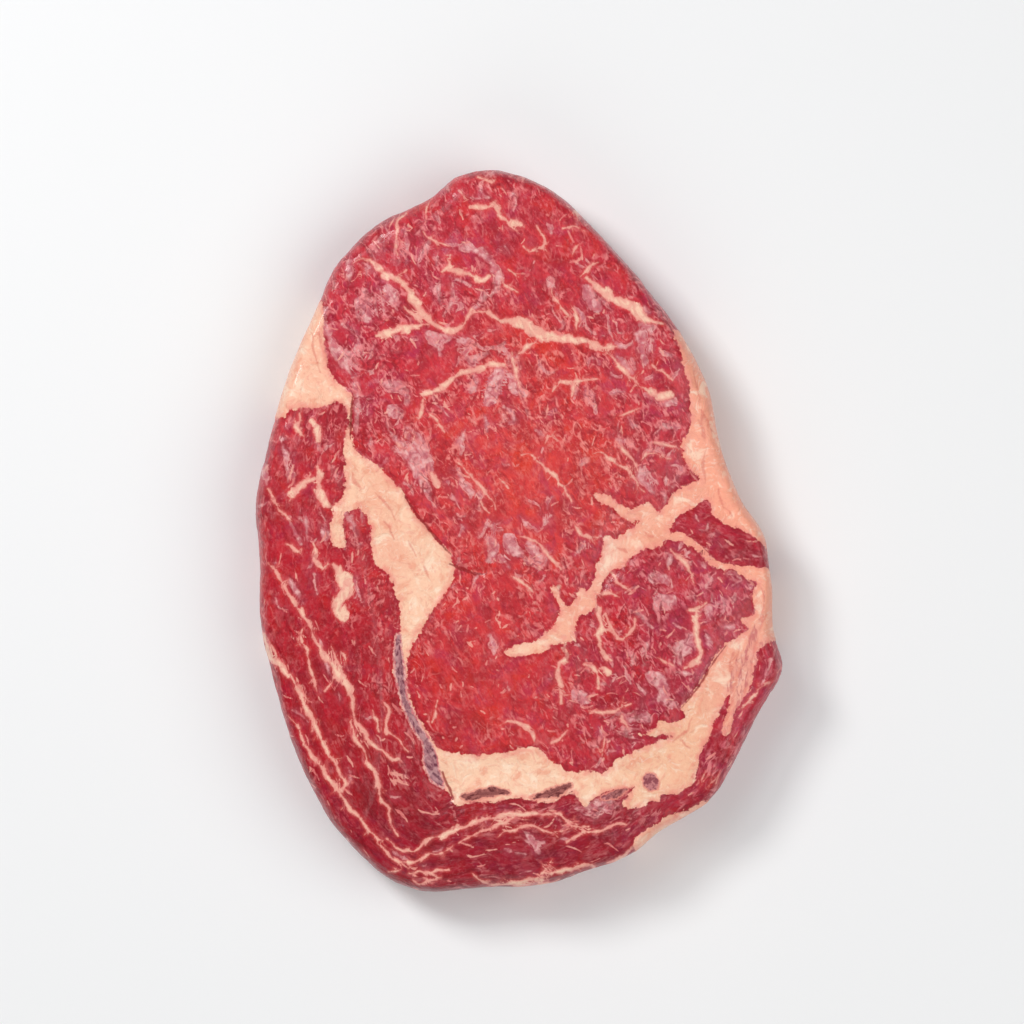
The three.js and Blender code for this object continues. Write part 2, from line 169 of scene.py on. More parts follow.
# Veins of fat in the lean: half the width where they are widest, then the path
VEINS = [
    # the forked vein across the top of the eye
    (0.5, [(-41.5, 66.9), (-39.4, 67.6), (-37.3, 67.3), (-35.1, 65.8), (-34.1, 64.4)]),
    (1.1, [(-35.3, 65.4), (-34.1, 64.2), (-32.3, 63.4), (-30.2, 62.7), (-28.8, 61.3), (-27.4, 59.5)]),
    (0.9, [(-28.4, 60.6), (-27.2, 58.8), (-26.7, 57.4), (-25.2, 55.6), (-24, 53.6)]),
    (0.85, [(-26, 56.7), (-25.6, 56), (-24.2, 53.9), (-22.4, 52.1), (-20.7, 51), (-18.9, 50),
            (-16.8, 49.6), (-14.3, 50.7), (-12.9, 53.2), (-12.2, 54.6)]),
    (0.5, [(-30.2, 63.7), (-28.8, 64.8)]),
    (1.0, [(-24.2, 51.4), (-27, 50.7), (-29.8, 50.3), (-32.3, 49.3), (-34.1, 48.2)]),
    (0.6, [(-28.8, 55.6), (-27, 53.9), (-24.9, 52.1)]),
    (0.8, [(-12.2, 54.6), (-9.2, 54.6), (-6.7, 53.5), (-4.2, 52.1), (-1.4, 52.1), (1.4, 51.4)]),
    (1.3, [(-2.6, 52.2), (0, 52), (2.2, 51), (3.8, 49.7), (5.8, 48.6), (8, 48.2)]),
    (0.8, [(3.2, 50), (4.9, 48.6), (7, 48.6), (9.2, 47.9), (12, 47.9), (14.1, 47.5), (16.9, 46.8),
           (19.7, 46.1), (21.9, 45.7), (23.6, 45.7)]),
    (0.5, [(3.9, 46.8), (1.4, 45.4), (0, 44.3)]),
    (0.5, [(19.7, 45), (21.9, 44), (23.6, 42.6), (25, 40.8), (26.7, 38.5), (28.8, 37.4),
           (30.2, 36), (32.3, 33.9)]),
    (0.5, [(19.4, 66.9), (17.6, 65.8), (15.5, 63.7)]),
    (1.1, [(17.3, 62.7), (18.7, 61.3), (20.4, 59.9), (22.2, 58.4), (24.3, 57.4), (26.4, 56.7),
            (28.2, 55.6), (30, 53.9), (31.4, 52.4), (33.5, 52.1), (35.6, 51.7)]),
    (0.8, [(-12, 81), (-9.9, 80.7), (-7.6, 81), (-6.4, 81.7), (-5.7, 80.3), (-4.9, 78.9),
           (-3.2, 77.1), (-1.8, 75.7), (-1.1, 75)]),
    # cream spots
    (1.0, [(-21.6, 13.8), (-20.6, 11.4)]),
    (0.6, [(-30.6, 21.6), (-29.2, 20.4)]),
    (0.5, [(-51.2, -4), (-50.8, -6)]),
    (1.0, [(-35.2, 48.8), (-32.4, 49.4)]),
    (0.9, [(-1.6, 76.6), (0.8, 75.6)]),
    # small ring
    (0.25, [(-28.4, 23.6), (-27.7, 24.6), (-26.5, 24.3), (-26.2, 23.2), (-27.2, 22.4)]),
    # small veins of the eye
    (0.4, [(4.6, 75.7), (5.6, 73.3), (6.7, 71.8), (5.3, 70.8), (2.8, 69.7), (1, 70.8)]),
    (0.4, [(14.4, 71.1), (13, 69)]),
    (0.4, [(13.4, 81.4), (14.1, 79.6), (14.4, 77.5)]),
    (0.4, [(10.9, 75.4), (13.4, 76.1), (15.9, 75)]),
    (0.45, [(7.7, 59.9), (8.8, 57.4), (10.6, 55.6), (12, 53.9)]),
    (0.45, [(12.7, 56), (14.1, 54.2), (14.1, 51.7), (14.1, 50)]),
    (0.4, [(-2.8, 65.1), (-0.7, 63.4)]),
    (0.4, [(-4.6, 62.3), (-2.8, 60.6), (-1.1, 59.5)]),
    (0.5, [(-19.3, 64.8), (-17.5, 66.2), (-17.2, 68.3)]),
    (0.75, [(-18.2, 65.1), (-14.7, 64.4), (-11.5, 63.4), (-10.1, 62.3), (-8, 63)]),
    (0.4, [(-29.1, 78.9), (-30.9, 77.8), (-30.9, 74.7), (-30.9, 71.8), (-30.6, 69)]),
    (0.35, [(-23.5, 81.4), (-23.5, 78.9)]),
    (0.4, [(-24.2, 74.3), (-22.4, 72.9), (-20, 71.8), (-18.2, 71.1)]),
    (0.4, [(-14.7, 84.5), (-13.3, 82.8)]),
    (0.4, [(-10.1, 88.4), (-8, 87.4), (-6.2, 87.4)]),
    (0.95, [(-24.5, 33.9), (-21.3, 35), (-18.5, 36.4), (-16.7, 37.8), (-14.9, 38.8), (-12.1, 39.9),
            (-9.7, 40.8), (-7.2, 41.3), (-4.4, 41.1)]),
    (0.5, [(-24.2, 32.8), (-24.5, 30.4), (-25.2, 28.3), (-25.9, 27.2)]),
    (0.4, [(-22, 28.6), (-20.6, 26.8), (-19.2, 24.7)]),
    (0.4, [(-2, 44.5), (-1.2, 40), (-0.2, 36)]),
    (0.5, [(8, 33.9), (9, 35.7), (10.4, 37.1), (13.3, 37.1), (16.1, 37.4), (19.6, 37.4)]),
    (0.4, [(13.6, 36.7), (12.9, 33.9)]),
    (0.45, [(0.6, 19.1), (2.7, 18.7), (4.8, 17), (6.9, 15.2), (8.7, 13.8), (10.1, 11.7),
            (11.5, 9.2), (12.6, 7.4)]),
    (0.4, [(6.2, 21.9), (7.6, 23.3), (9.4, 22.6)]),
    (0.4, [(-14.9, 16.3), (-13.2, 14.5), (-11.1, 12), (-9, 9.9), (-7.2, 7.8), (-6.1, 5.7)]),
    (0.35, [(-10, 6.7), (-8.2, 4.3)]),
    (0.35, [(-4.7, 12.7), (-3.3, 10.6)]),
    (0.45, [(18.6, 19.1), (20.3, 19.4), (22.1, 18), (24.2, 16.6), (26.3, 15.6), (28.1, 13.8),
            (29.1, 12), (30.9, 9.6)]),
    (0.4, [(24.5, 21.9), (26, 19.8), (28.1, 17.7), (29.1, 15.2)]),
    (0.45, [(30.3, 18), (32.7, 19.4), (34.9, 18.7), (37.4, 17.8)]),
    (1.1, [(31.7, 35), (34.2, 33.9), (37.7, 33.5)]),
    (0.4, [(25, 28.3), (27.1, 29.3), (29.6, 30.4)]),
    (0.45, [(32.7, 21.9), (35.6, 21.7), (38.4, 21), (40.5, 20.1)]),
    (0.4, [(33.1, 40.9), (35.6, 39.5), (37.7, 38.1)]),
    (0.4, [(13.6, 1.1), (15, -0.7), (16.8, -1.7), (19.3, -1.7)]),
    (0.45, [(-0.3, -1.6), (3.3, -2.6), (6.1, -5.1), (8.6, -7.9), (10, -9.3)]),
    # the long veins of the left band
    (0.5, [(-63.3, -8.3), (-61.5, -10), (-60.5, -11.8), (-59.1, -14.3), (-57.7, -16.7),
           (-55.9, -18.9), (-54.1, -21.3), (-52.7, -23.8), (-51.7, -26.6)]),
    (0.9, [(-51.7, -26.6), (-50.3, -29.4), (-48.1, -32.3), (-46.4, -34.7), (-44.6, -36.8),
            (-43.2, -39), (-42.1, -41.4), (-42.1, -43.9), (-41.7, -46.7)]),
    (0.5, [(-41.7, -46.7), (-40.3, -48.5), (-38.9, -50.6), (-37.8, -52.7), (-35.7, -54.5),
           (-33.3, -56.2), (-31.5, -57.5), (-29.7, -57.6)]),
    (0.5, [(-42.4, -47), (-41.4, -50.9), (-40.3, -53.4), (-38.6, -55.5), (-37.8, -58.3),
           (-36.1, -60.8), (-35.4, -63.6), (-35, -66.1), (-34, -68.2), (-32.6, -69.6),
           (-32.6, -71.7), (-31.9, -74.2), (-30.8, -76.3)]),
    (0.4, [(-33.6, -43.5), (-32.9, -45.3), (-33.6, -47.4), (-33.3, -49.5), (-31.9, -51.6),
           (-30.4, -52.7), (-28, -55.2)]),
    (0.35, [(-36.8, -45.3), (-35.7, -47.8), (-35.2, -49.9)]),
    (0.55, [(-59.4, -33.7), (-57.7, -36.1), (-55.9, -39), (-54.8, -41.8), (-53.4, -45),
            (-51.6, -48.1), (-50.2, -51.3), (-49.1, -53), (-48.1, -55.5), (-46, -58.3),
            (-44.9, -61.2), (-43.8, -62.9), (-44.2, -65.4)]),
    (0.5, [(-57.9, -46.7), (-55.8, -48.8), (-54.8, -51.6), (-53.4, -54.5), (-51.2, -57.3),
           (-49.1, -59.7), (-48.1, -61.9), (-46.3, -64), (-44.5, -66.4), (-42.8, -69.3),
           (-40.3, -72.1), (-38.2, -74.6), (-36.1, -76.7), (-34.7, -77.4)]),
    # the veins of the lower band
    (0.55, [(-33.3, -77.7), (-31.1, -79.1), (-29, -80.2), (-26.6, -80.2), (-24.4, -78.4),
            (-22, -77), (-18.5, -76), (-15.6, -74.6), (-12.8, -73.5), (-10.9, -72.8),
            (-7.4, -72.1), (-3.8, -71.2), (-0.3, -71), (3.2, -70.9), (6.7, -71.2),
            (9.9, -71.2), (11.7, -73.1), (13.1, -73.9), (16.3, -73.9)]),
    (0.42, [(-35.4, -78.4), (-33.3, -80.6), (-31.1, -82.3), (-29.4, -83), (-26.9, -83.4),
           (-24.4, -82.3), (-22.7, -80.9), (-19.5, -80.6), (-17, -79.1)]),
    (0.4, [(-32.6, -85.8), (-29.7, -84.8)]),
    (0.4, [(-27.6, -86.2), (-25.9, -85.5), (-22.7, -85.5), (-18.5, -85)]),
    (0.4, [(-26.9, -88.3), (-24.4, -89), (-22, -87.6), (-20.2, -87.2)]),
    (0.4, [(-14.8, -78.1), (-10.9, -76), (-8.1, -74.9), (-5.3, -73.5), (-2.4, -72.4),
           (-0.3, -71.7)]),
    (0.4, [(-5.3, -76.3), (-3.8, -75.3), (-1, -74.6), (1.1, -73.9), (4.3, -73.9), (5.7, -75.3),
           (8.5, -75.6), (11.7, -74.9)]),
    (0.45, [(11.7, -77.7), (14.5, -76.3), (16.6, -75.6), (20.1, -75.3), (23.3, -73.9),
            (26.1, -73.5)]),
    (0.6, [(-12, -86.2), (-9.8, -88), (-6.7, -89), (-3.8, -89), (-0.3, -88.3), (3.2, -87.6),
           (5.7, -85.8), (7.4, -83.7), (8.1, -82.3)]),
    (0.6, [(2.5, -89), (6, -87.2), (8.9, -85.5), (13.1, -85), (17.3, -84.3), (19.8, -84.8)]),
    (0.6, [(-0.3, -89.6), (5, -89.6), (10.3, -87.9)]),
    (0.6, [(22.2, -82.9), (25.8, -82.2), (27.9, -80), (29.7, -77.9)]),
    # left band, near the rim and above
    (0.9, [(-65.6, -24.9), (-64, -28.7), (-63, -32.3), (-60.1, -34), (-58.4, -36.1)]),
    (0.4, [(-64.4, -26.3), (-61.9, -30.1), (-59.8, -33.3)]),
    (1.5, [(-46, -9), (-45.3, -10), (-43.9, -12.5), (-43, -14.6), (-44, -16.4)]),
    (1.5, [(-44.2, -16), (-45, -17.5), (-45.5, -19.5), (-43.9, -21.7)]),
    (0.8, [(-50.2, 15.5), (-50.2, 10), (-48.5, 6.8), (-46, 5.3)]),
    (0.9, [(-50.5, 13), (-54.5, 11.3), (-56, 9.5), (-57.5, 7.5)]),
    (0.45, [(-52, -6.5), (-50.6, -7.9), (-49.5, -9.7), (-48.1, -9)]),
    (0.4, [(-58, -3.3), (-54.8, -5.8)]),
    (0.5, [(-54.8, 30.4), (-55.2, 27.5), (-55.9, 25.8), (-54.5, 23.7)]),
    (0.9, [(-52, 27), (-51, 25.5), (-50.5, 23)]),
    (0.4, [(-54.8, -24.9), (-54.5, -27.3), (-53.1, -30.5), (-52.4, -34), (-51.7, -36.8),
           (-50.6, -39.7)]),
    (0.35, [(-48.8, -39.7), (-47.1, -38.3)]),
    (0.4, [(-47.1, -29.8), (-45.7, -32.6), (-44.3, -35.1)]),
    (0.35, [(-44.6, -30.5), (-43.6, -33)]),
    (0.4, [(-62.6, 9.9), (-61.5, 6.7), (-59.4, 4.3), (-57.3, 2.5)]),
    # the cap
    (0.75, [(19, -16), (18.8, -18.5), (19.7, -21.3), (20.4, -24.5), (19.6, -26.3), (20.1, -28.7),
            (21.1, -30.9), (22.5, -32.3)]),
    (0.5, [(20.5, -25), (22.4, -24.9), (24.6, -27), (26.8, -26.3), (28.2, -24.5), (28.5, -22.7)]),
    (0.6, [(41.9, -20.3), (43.7, -19.9), (46.1, -18.5)]),
    (0.8, [(44, -20), (44, -21.7), (44.2, -25.2), (44.7, -28.7), (45.1, -31.2), (43.3, -33),
           (41.2, -34.4)]),
    (0.45, [(37.7, -5.1), (40.2, -7.2), (41.9, -9.3), (43, -11.5), (43.7, -13.6)]),
    (0.45, [(22.5, -10.4), (24.3, -12.9), (27.1, -15)]),
    (0.45, [(19.3, -16), (21.8, -15.7), (24.3, -16.7)]),
    (0.4, [(21.5, -21.3), (23.2, -24.5), (24.6, -27)]),
    (0.4, [(34.9, -31.9), (36.3, -33), (38, -33.3)]),
    (0.45, [(16.5, -33.7), (18.3, -34.4), (19.3, -36.1), (19.7, -39)]),
    (0.9, [(21.2, -34.7), (22.2, -35.5)]),
    (0.5, [(17.6, -45), (20.1, -45.7), (23.6, -45.3), (25, -44.6), (27.1, -43.5)]),
    (0.4, [(25.3, -46), (26, -47.8), (27.1, -49.5)]),
    (0.6, [(11.4, -28.7), (11.4, -30.1), (11.7, -31.9), (10, -33.3), (9.6, -35.8), (10, -37.9),
           (10, -40.7), (10.3, -42.8)]),
    # the lower lobe, and the cap's lower end
    (0.55, [(-4.5, -48.8), (-2.8, -47.8), (-1.7, -48.1), (1.3, -48.8), (2.9, -50.6), (3.6, -52.3)]),
    (0.35, [(-20.7, -42.8), (-21.1, -45.3), (-22.1, -48.1)]),
    (0.45, [(-1.7, -11.5), (0.8, -13.2), (3.3, -15)]),
    (0.4, [(8.3, -53), (11.5, -50.5)]),
    (0.35, [(20.9, -52.5), (20.7, -56.5)]),
    (0.6, [(8.6, -15.3), (9.4, -14.4), (10, -14.3)]),
    # the right tip, and pale lines across the band below it
    (0.4, [(54.6, -44.8), (58, -41.8), (60.8, -39.2), (63.2, -38)]),
    (0.15, [(46, -60.8), (45, -64.6)]),
    (0.15, [(48.2, -61.8), (47.2, -65)]),
    (0.14, [(50, -60.6), (49.2, -63.8)]),
]

# The grey membrane between the left band and the lower lobe: (x, y, half its width)
MEMBRANE = [
    (-30.4, -26.3, 0.7), (-30.5, -30, 1.1), (-30.2, -34, 1.3), (-29.7, -38, 1.3), (-29, -42, 1.0),
    (-27.8, -45.5, 1.1), (-26, -49, 1.2), (-23.8, -52.5, 1.1), (-22.9, -55, 1.4), (-22.3, -58, 1.9),
    (-21.2, -61.5, 1.6), (-19.3, -64.2, 0.6),
]

# Dark vessels in the lower fat band: half the width, then the path
VESSELS = [
    (1.3, [(-14.2, -66.9), (-10.5, -66.3), (-7, -65.3), (-3, -65.7)]),
    (1.1, [(3, -67), (6.5, -66.2), (10, -65), (12.6, -63.9)]),
    (0.9, [(20.6, -67), (23.2, -66.2), (26.4, -65)]),
    (1.8, [(32.2, -61.9), (32.8, -63), (33.4, -64.4)]),
]

# Where a vessel is paler: middle, half its width and length, turn in degrees
PALE_VESSELS = [((33, -63.6), (7, 7), 0), ((33.9, -66), (3, 2), 0), ((20.4, -67.4), (3, 2), 20)]

# Gaps where two muscles part: sunk in the relief, and painted dark red as painted shade
CREVICES = [
    (0.35, [(-17.3, -8.6), (-15, -9.6), (-12, -10.7), (-9.5, -10.9)]),
    (0.35, [(-19.4, -61), (-18.6, -63), (-17.6, -65), (-17, -67.2)]),
    (0.3, [(-28.5, 8), (-26, 4), (-23.3, 0.8), (-20, -3.2), (-17.4, -6)]),
    (0.2, [(51.5, -29.3), (49.2, -32), (47.4, -34.8), (45.3, -38.4), (42.8, -41.8), (40.7, -44.2)]),
    (0.25, [(-42, 33), (-42.4, 28), (-42.4, 23)]),
]

# Ribbons where the wet cut face turns the light lilac, painted into its colour as a painted reflection: half
# the width, then the path
PAINTED_SHEEN_PATHS = [
    # beside the third vessel, in the lower band, at the right tip and at the eye's lower left
    (1.3, [(16.4, -69.2), (19.6, -68.6), (23, -68)]),
    (0.75, [(1, -75.2), (2.8, -77.4), (4.4, -80.2)]),
    (0.5, [(64, -30), (62.6, -33.5), (60.8, -38)]),
    (1.9, [(-29.6, 21.4), (-26.8, 18.4), (-25, 14.4), (-23.4, 9.4)]),
    (1.1, [(-31.4, 23.4), (-29.4, 20.6), (-28.6, 18.4)]),
    (0.9, [(14.6, -69.4), (17.4, -69.6), (20.4, -69.2)]),
    (0.6, [(16.4, -71.2), (19.6, -71), (22.6, -70)]),
    (0.5, [(22.6, -68.8), (25.4, -68), (27.6, -66.6)]),
    # the eye's upper left
    (1.3, [(-38.8, 59.2), (-38.9, 56.5), (-38.2, 53)]),
    (0.5, [(-41, 57), (-41, 54.5), (-40.6, 52.5)]),
    (0.5, [(-36.2, 58.5), (-36.3, 55.5), (-35.2, 53)]),
    (0.55, [(-35, 61), (-34.5, 58), (-34, 54.5)]),
    (1.6, [(-33, 60.3), (-31.8, 58), (-31, 55.8)]),
    (1.4, [(-43, 66.5), (-42.6, 64.5), (-42.8, 62.5)]),
    (0.5, [(-28.7, 75), (-28.3, 71.5), (-28.8, 69)]),
    (0.5, [(-30.8, 73), (-31, 70)]),
    (0.7, [(-22.5, 73), (-23.6, 70), (-25.2, 67)]),
    (0.5, [(-20.5, 70), (-21, 67)]),
    (1.2, [(-17.5, 71.3), (-14.5, 71), (-11.5, 69.8), (-9, 69), (-7, 67)]),
    (1.4, [(-7, 67), (-5.8, 64.5), (-5.6, 61.5), (-7, 59)]),
    (1.0, [(-9, 60), (-9.5, 57.5), (-11, 55.5)]),
    (0.8, [(-20.3, 62), (-20.6, 59.5), (-20, 57)]),
    (0.75, [(-17.3, 63), (-16.6, 60), (-17, 57), (-18.8, 54)]),
    (0.6, [(-15.3, 62.5), (-13, 61.5)]),
    # the eye's left edge
    (1.0, [(-48.6, 55), (-48.6, 51), (-47.6, 47.5)]),
    (1.3, [(-47.6, 48), (-46, 45), (-44, 42), (-42.4, 39)]),
    (0.6, [(-44.2, 45), (-42.6, 42.3), (-40.6, 40)]),
    (0.5, [(-42.8, 44.5), (-41, 42)]),
    (0.8, [(-40.6, 47.5), (-40.4, 45), (-39.8, 43.5)]),
    (0.5, [(-36.6, 45.5), (-37.4, 43.5), (-38.3, 42.5)]),
    (0.5, [(-44, 51), (-42, 49.5), (-40.5, 48.5)]),
    (0.8, [(-41, 36), (-40.7, 30), (-41, 24)]),
    # the eye's middle
    (1.5, [(-22.3, 48.6), (-20.5, 46.8), (-20.2, 44.5)]),
    (0.8, [(-19, 48.5), (-17, 48.3)]),
    (0.8, [(-15.5, 46.5), (-14.2, 47.2), (-13, 46.2), (-13.6, 44.6)]),
    (0.9, [(-12, 47), (-9.5, 45.5), (-7, 45.5), (-4.5, 46.5)]),
    (0.7, [(-13.5, 43), (-10.5, 43.2), (-7.5, 44)]),
    (2.3, [(-4.8, 40), (-6.3, 36.5), (-8, 32.5)]),
    (2.0, [(-2.5, 38), (-1, 35.5), (0.5, 34.3)]),
    (0.9, [(-11, 37), (-12, 35)]),
    (0.9, [(-3, 44.5), (-1.5, 41), (-0.8, 37.5)]),
    (1.4, [(-33.3, 36.2), (-31.2, 35.8), (-29.5, 35)]),
    (1.5, [(-32, 30), (-30.5, 29)]),
    (0.8, [(-28.2, 34), (-28.3, 32)]),
    (0.55, [(-33.3, 27.5), (-32.7, 25), (-31.4, 22.4)]),
    (0.5, [(-38.3, 31), (-38.2, 27.5)]),
    (0.9, [(-3.5, 30.5), (-2, 29.5), (-1.4, 27.5), (-3.2, 26.3)]),
    (1.0, [(-8.4, 28), (-8.2, 25.5)]),
    (0.8, [(-14, 24.5), (-14.8, 22), (-14.6, 19.5)]),
    # the eye's lower left
    (2.2, [(-28, 24.8), (-25.4, 21.5), (-23.6, 18), (-23, 14.5)]),
    (0.9, [(-31, 20.3), (-28.5, 18), (-26, 15), (-24.4, 12)]),
    (1.2, [(-23.8, 11.5), (-22.8, 8.8)]),
    (1.1, [(-15.3, 14.5), (-14.2, 11.5), (-12.3, 9)]),
    (0.45, [(-17.8, 11.5), (-16.8, 8.5), (-15.2, 6)]),
    (1.8, [(-7.6, -2.6), (-6.8, -4.5), (-7.2, -6.8)]),
    (1.8, [(-3.2, -1.8), (-2.2, -4), (-0.8, -6)]),
    (0.8, [(-5, -7), (-3, -9)]),
    (1.4, [(2.8, -4), (3.6, -6.2), (4.8, -8)]),
    (0.5, [(0.8, -7.2), (2.8, -9), (5.2, -9.4), (6.6, -7.4), (6.4, -5)]),
    (0.6, [(0.4, 3), (2, 1.2), (4, 0)]),
    (0.6, [(5.4, 4), (6.4, 2.4), (5.8, 1)]),
    (1.0, [(-7.2, -27), (-6.6, -30.4)]),
    # the eye's right
    (1.2, [(7.4, 62.3), (8.2, 60.5)]),
    (1.9, [(16.6, 60), (18, 57.8), (19, 55.5)]),
    (0.7, [(20.8, 57.5), (22.5, 55.5)]),
    (0.45, [(16.2, 53), (16.6, 50.8), (18, 49.4), (20.3, 48.7)]),
    (0.45, [(22, 53), (22.4, 50), (23.6, 47.2), (26, 45.7), (28.3, 47.4), (28.8, 50.3)]),
    (0.4, [(24, 51.4), (24.6, 49.4), (26.4, 49.4), (27.4, 50.8)]),
    (1.6, [(30.4, 49.2), (30.3, 46), (31, 42.8)]),
    (0.8, [(32.6, 47), (32.4, 44.3)]),
    (1.1, [(30.5, 51.2), (33, 50.8)]),
    (1.1, [(24.3, 43), (25.6, 41.4), (27.4, 39.8)]),
    (0.5, [(16.8, 41.4), (17.3, 42.8), (18.8, 43), (19.6, 42)]),
    (0.8, [(35.5, 44.4), (38, 44)]),
    (1.2, [(16.6, 35), (17.8, 32.5), (18.6, 30)]),
    (0.7, [(14.4, 36.4), (13.8, 33.5)]),
    (0.8, [(23.4, 34.4), (25.4, 34.4)]),
    (1.3, [(32, 33.6), (35, 32.8), (38.4, 32)]),
    (0.8, [(36.5, 25.8), (39.5, 25.8)]),
    (1.2, [(29.4, 15.6), (31, 12.6), (32.6, 9.8)]),
    (0.5, [(31.5, 15.3), (33, 13), (34.3, 11.8)]),
    (0.55, [(30.4, 18), (32, 19.6), (34.4, 19.8), (36, 18.6)]),
    (0.6, [(36.8, 16), (39, 16.2), (40.4, 15), (38.6, 12.9)]),
    (0.7, [(24.6, 22), (26.4, 19.8), (28.6, 17), (29, 15)]),
    (0.5, [(24.4, 26.4), (24.6, 24), (25.6, 22.6)]),
    (0.5, [(32.4, 21.9), (36, 21.6), (39.6, 20.4)]),
    (0.8, [(16.5, 17.4), (15.6, 16.6)]),
    (0.9, [(20.6, -1.8), (22.4, -3)]),
    # the cap
    (2.2, [(34.4, -18.6), (36, -18), (37.8, -17.2)]),
    (1.4, [(33, -11.6), (35, -12.2), (36.5, -13)]),
    (0.5, [(35.6, -10.4), (37.2, -12), (38, -14)]),
    (1.0, [(28.2, -20.4), (30.6, -21.6), (32.6, -24)]),
    (1.8, [(42.5, -27), (41, -29.5), (40, -32.4)]),
    (1.3, [(38, -29), (39.5, -30.5)]),
    (1.3, [(46.8, -19.4), (47.4, -21.6)]),
    (1.2, [(51.2, -24), (52.8, -24)]),
    (0.8, [(53.4, -16.5), (53.2, -19)]),
    (0.8, [(46.5, -26), (47.5, -28)]),
    (0.7, [(32, -28.2), (30.8, -30.6), (30.7, -34.5)]),
    (1.6, [(32.4, -36.4), (34.6, -37.6), (36.4, -39)]),
    (1.5, [(35, -40), (36.4, -42.6), (38.6, -44)]),
    (1.6, [(13.8, -41), (16.2, -42.2)]),
    (0.6, [(26, -34.8), (27.4, -37.8)]),
    (1.5, [(26.6, -47.4), (29.4, -46.6), (32, -47)]),
    (0.8, [(26, -49.4), (29, -49.6)]),
    (0.5, [(24, -50.2), (27, -51.4), (30.2, -52.4)]),
    (0.7, [(37.6, -7), (37, -9)]),
    (0.6, [(43, -36), (39.5, -35.5)]),
    (0.5, [(29.5, -39), (31.5, -41.5)]),
    (0.6, [(45, -8.2), (46.5, -8.8)]),
    (0.5, [(50, -29.6), (47, -34), (43.5, -39.4), (40.4, -43.8)]),
    # the outer band
    (0.7, [(-60, 22.6), (-58.8, 19.5), (-58.2, 16), (-58, 12.6)]),
    (0.55, [(-57.4, 17.4), (-56.6, 14.6), (-56.4, 11.6)]),
    (0.8, [(-57.6, 2.6), (-56.6, 0), (-55, -2.8)]),
    (0.5, [(-53.6, 5), (-53.4, 0.8), (-53, -3)]),
    (0.8, [(-48.8, 0.6), (-48.6, -2)]),
    (0.8, [(-57.8, -11.8), (-56.4, -14.8), (-54.6, -18)]),
    (0.55, [(-41.4, -12.6), (-40.4, -15.4), (-39.2, -18.4)]),
    (0.9, [(-43.2, 4), (-41.8, 1.6), (-41.2, -1)]),
    (0.5, [(-50, 5), (-49, 3)]),
    (0.6, [(-39.8, 4.4), (-39.4, 2.6)]),
    (0.6, [(-50, -28), (-48.6, -33), (-46.8, -37)]),
    (0.9, [(-64, 17), (-63.4, 12)]),
    (1.0, [(19, -69), (22, -70), (24, -69)]),
    (0.45, [(2, -78), (5.5, -78.2)]),
    (0.5, [(57.4, -27.6), (56.2, -31.4), (55.4, -36)]),
    (0.6, [(54.6, -38), (54, -42), (53, -46)]),
]

# Streaks of gristle in the fat beside the right tip: half the width, then the path
GRISTLE = [
    (1.0, [(60, -23), (58.2, -28), (56.8, -34), (55.4, -40), (53.4, -46)]),
    (0.7, [(61.5, -26.5), (60, -31), (58.8, -35)]),
    (0.8, [(55.8, -31), (53.6, -36), (51.4, -41)]),
    (0.6, [(51.8, -49.5), (50, -54), (49, -58)]),
]

# Fine dark and reddish threads in the fat: half the width, then the path
THREADS = [
    # red lines beside the right tip
    (0.4, [(61.6, -21), (59.6, -25), (58.4, -30), (57.6, -34)]),
    (0.35, [(58.6, -24.4), (56.8, -29), (55.4, -34), (54, -38)]),
    (0.45, [(57, -37.5), (55.6, -42), (53.6, -46.5), (52, -50)]),
    (0.3, [(54, -41), (52.4, -45), (50.4, -49)]),
    # the upper left, the right side, the middle wedge, the central seam and the lower right
    (0.25, [(-50.4, 51), (-49.6, 46.5), (-48.2, 42.5), (-46, 38.5), (-43.4, 35)]),
    (0.2, [(-52, 49), (-51.4, 44), (-50, 39.5)]),
    (0.3, [(44.4, 27.6), (45.6, 25), (46.6, 22.6)]),
    (0.3, [(45.4, 30), (47.2, 27.4), (48.4, 25.4)]),
    (0.2, [(43.6, 40), (44.6, 35), (45.2, 31)]),
    (0.25, [(46.4, 20), (45.6, 16), (46.6, 12)]),
    (0.25, [(53, 3.6), (50.6, 6.6), (49.4, 10.4)]),
    (0.45, [(-42.1, 14), (-41.2, 12.4), (-40, 11)]),
    (0.2, [(-33.6, 2), (-32.6, 0), (-31.6, -2)]),
    (0.2, [(-28, -3), (-26.8, -5), (-25.8, -7)]),
    (0.2, [(-36, 9), (-33, 6), (-31.4, 3)]),
    (0.2, [(-24, -9), (-22.6, -11.6)]),
    (0.25, [(31, -0.6), (33, -1.6)]),
    (0.25, [(24.6, -4.6), (26.6, -5.6)]),
    (0.3, [(53.4, -31), (52.6, -34), (53.2, -36.6)]),
    (0.3, [(55.2, -29.4), (54, -33.4), (54, -38), (52.8, -41)]),
    (0.25, [(59.4, -27), (57.6, -31), (57, -36)]),
    (0.2, [(43, -47), (41.4, -50.4), (38.6, -52.6)]),
    (0.2, [(40.6, -53), (42.2, -54.4)]),
    (0.25, [(43.4, -62), (46.2, -64.6)]),
    (0.25, [(45, -61.6), (48.4, -64.8)]),
    (0.25, [(47, -61.4), (50, -64.4)]),
    (0.2, [(60.4, -14), (61, -18), (60, -22)]),
]


def colour(red, green, blue):
    """A colour given as screen values from 0 to 255, in linear light."""
    screen = np.array([red, green, blue]) / 255
    return np.where(screen > 0.04, ((screen + 0.055) / 1.055) ** 2.4, screen / 12.92)


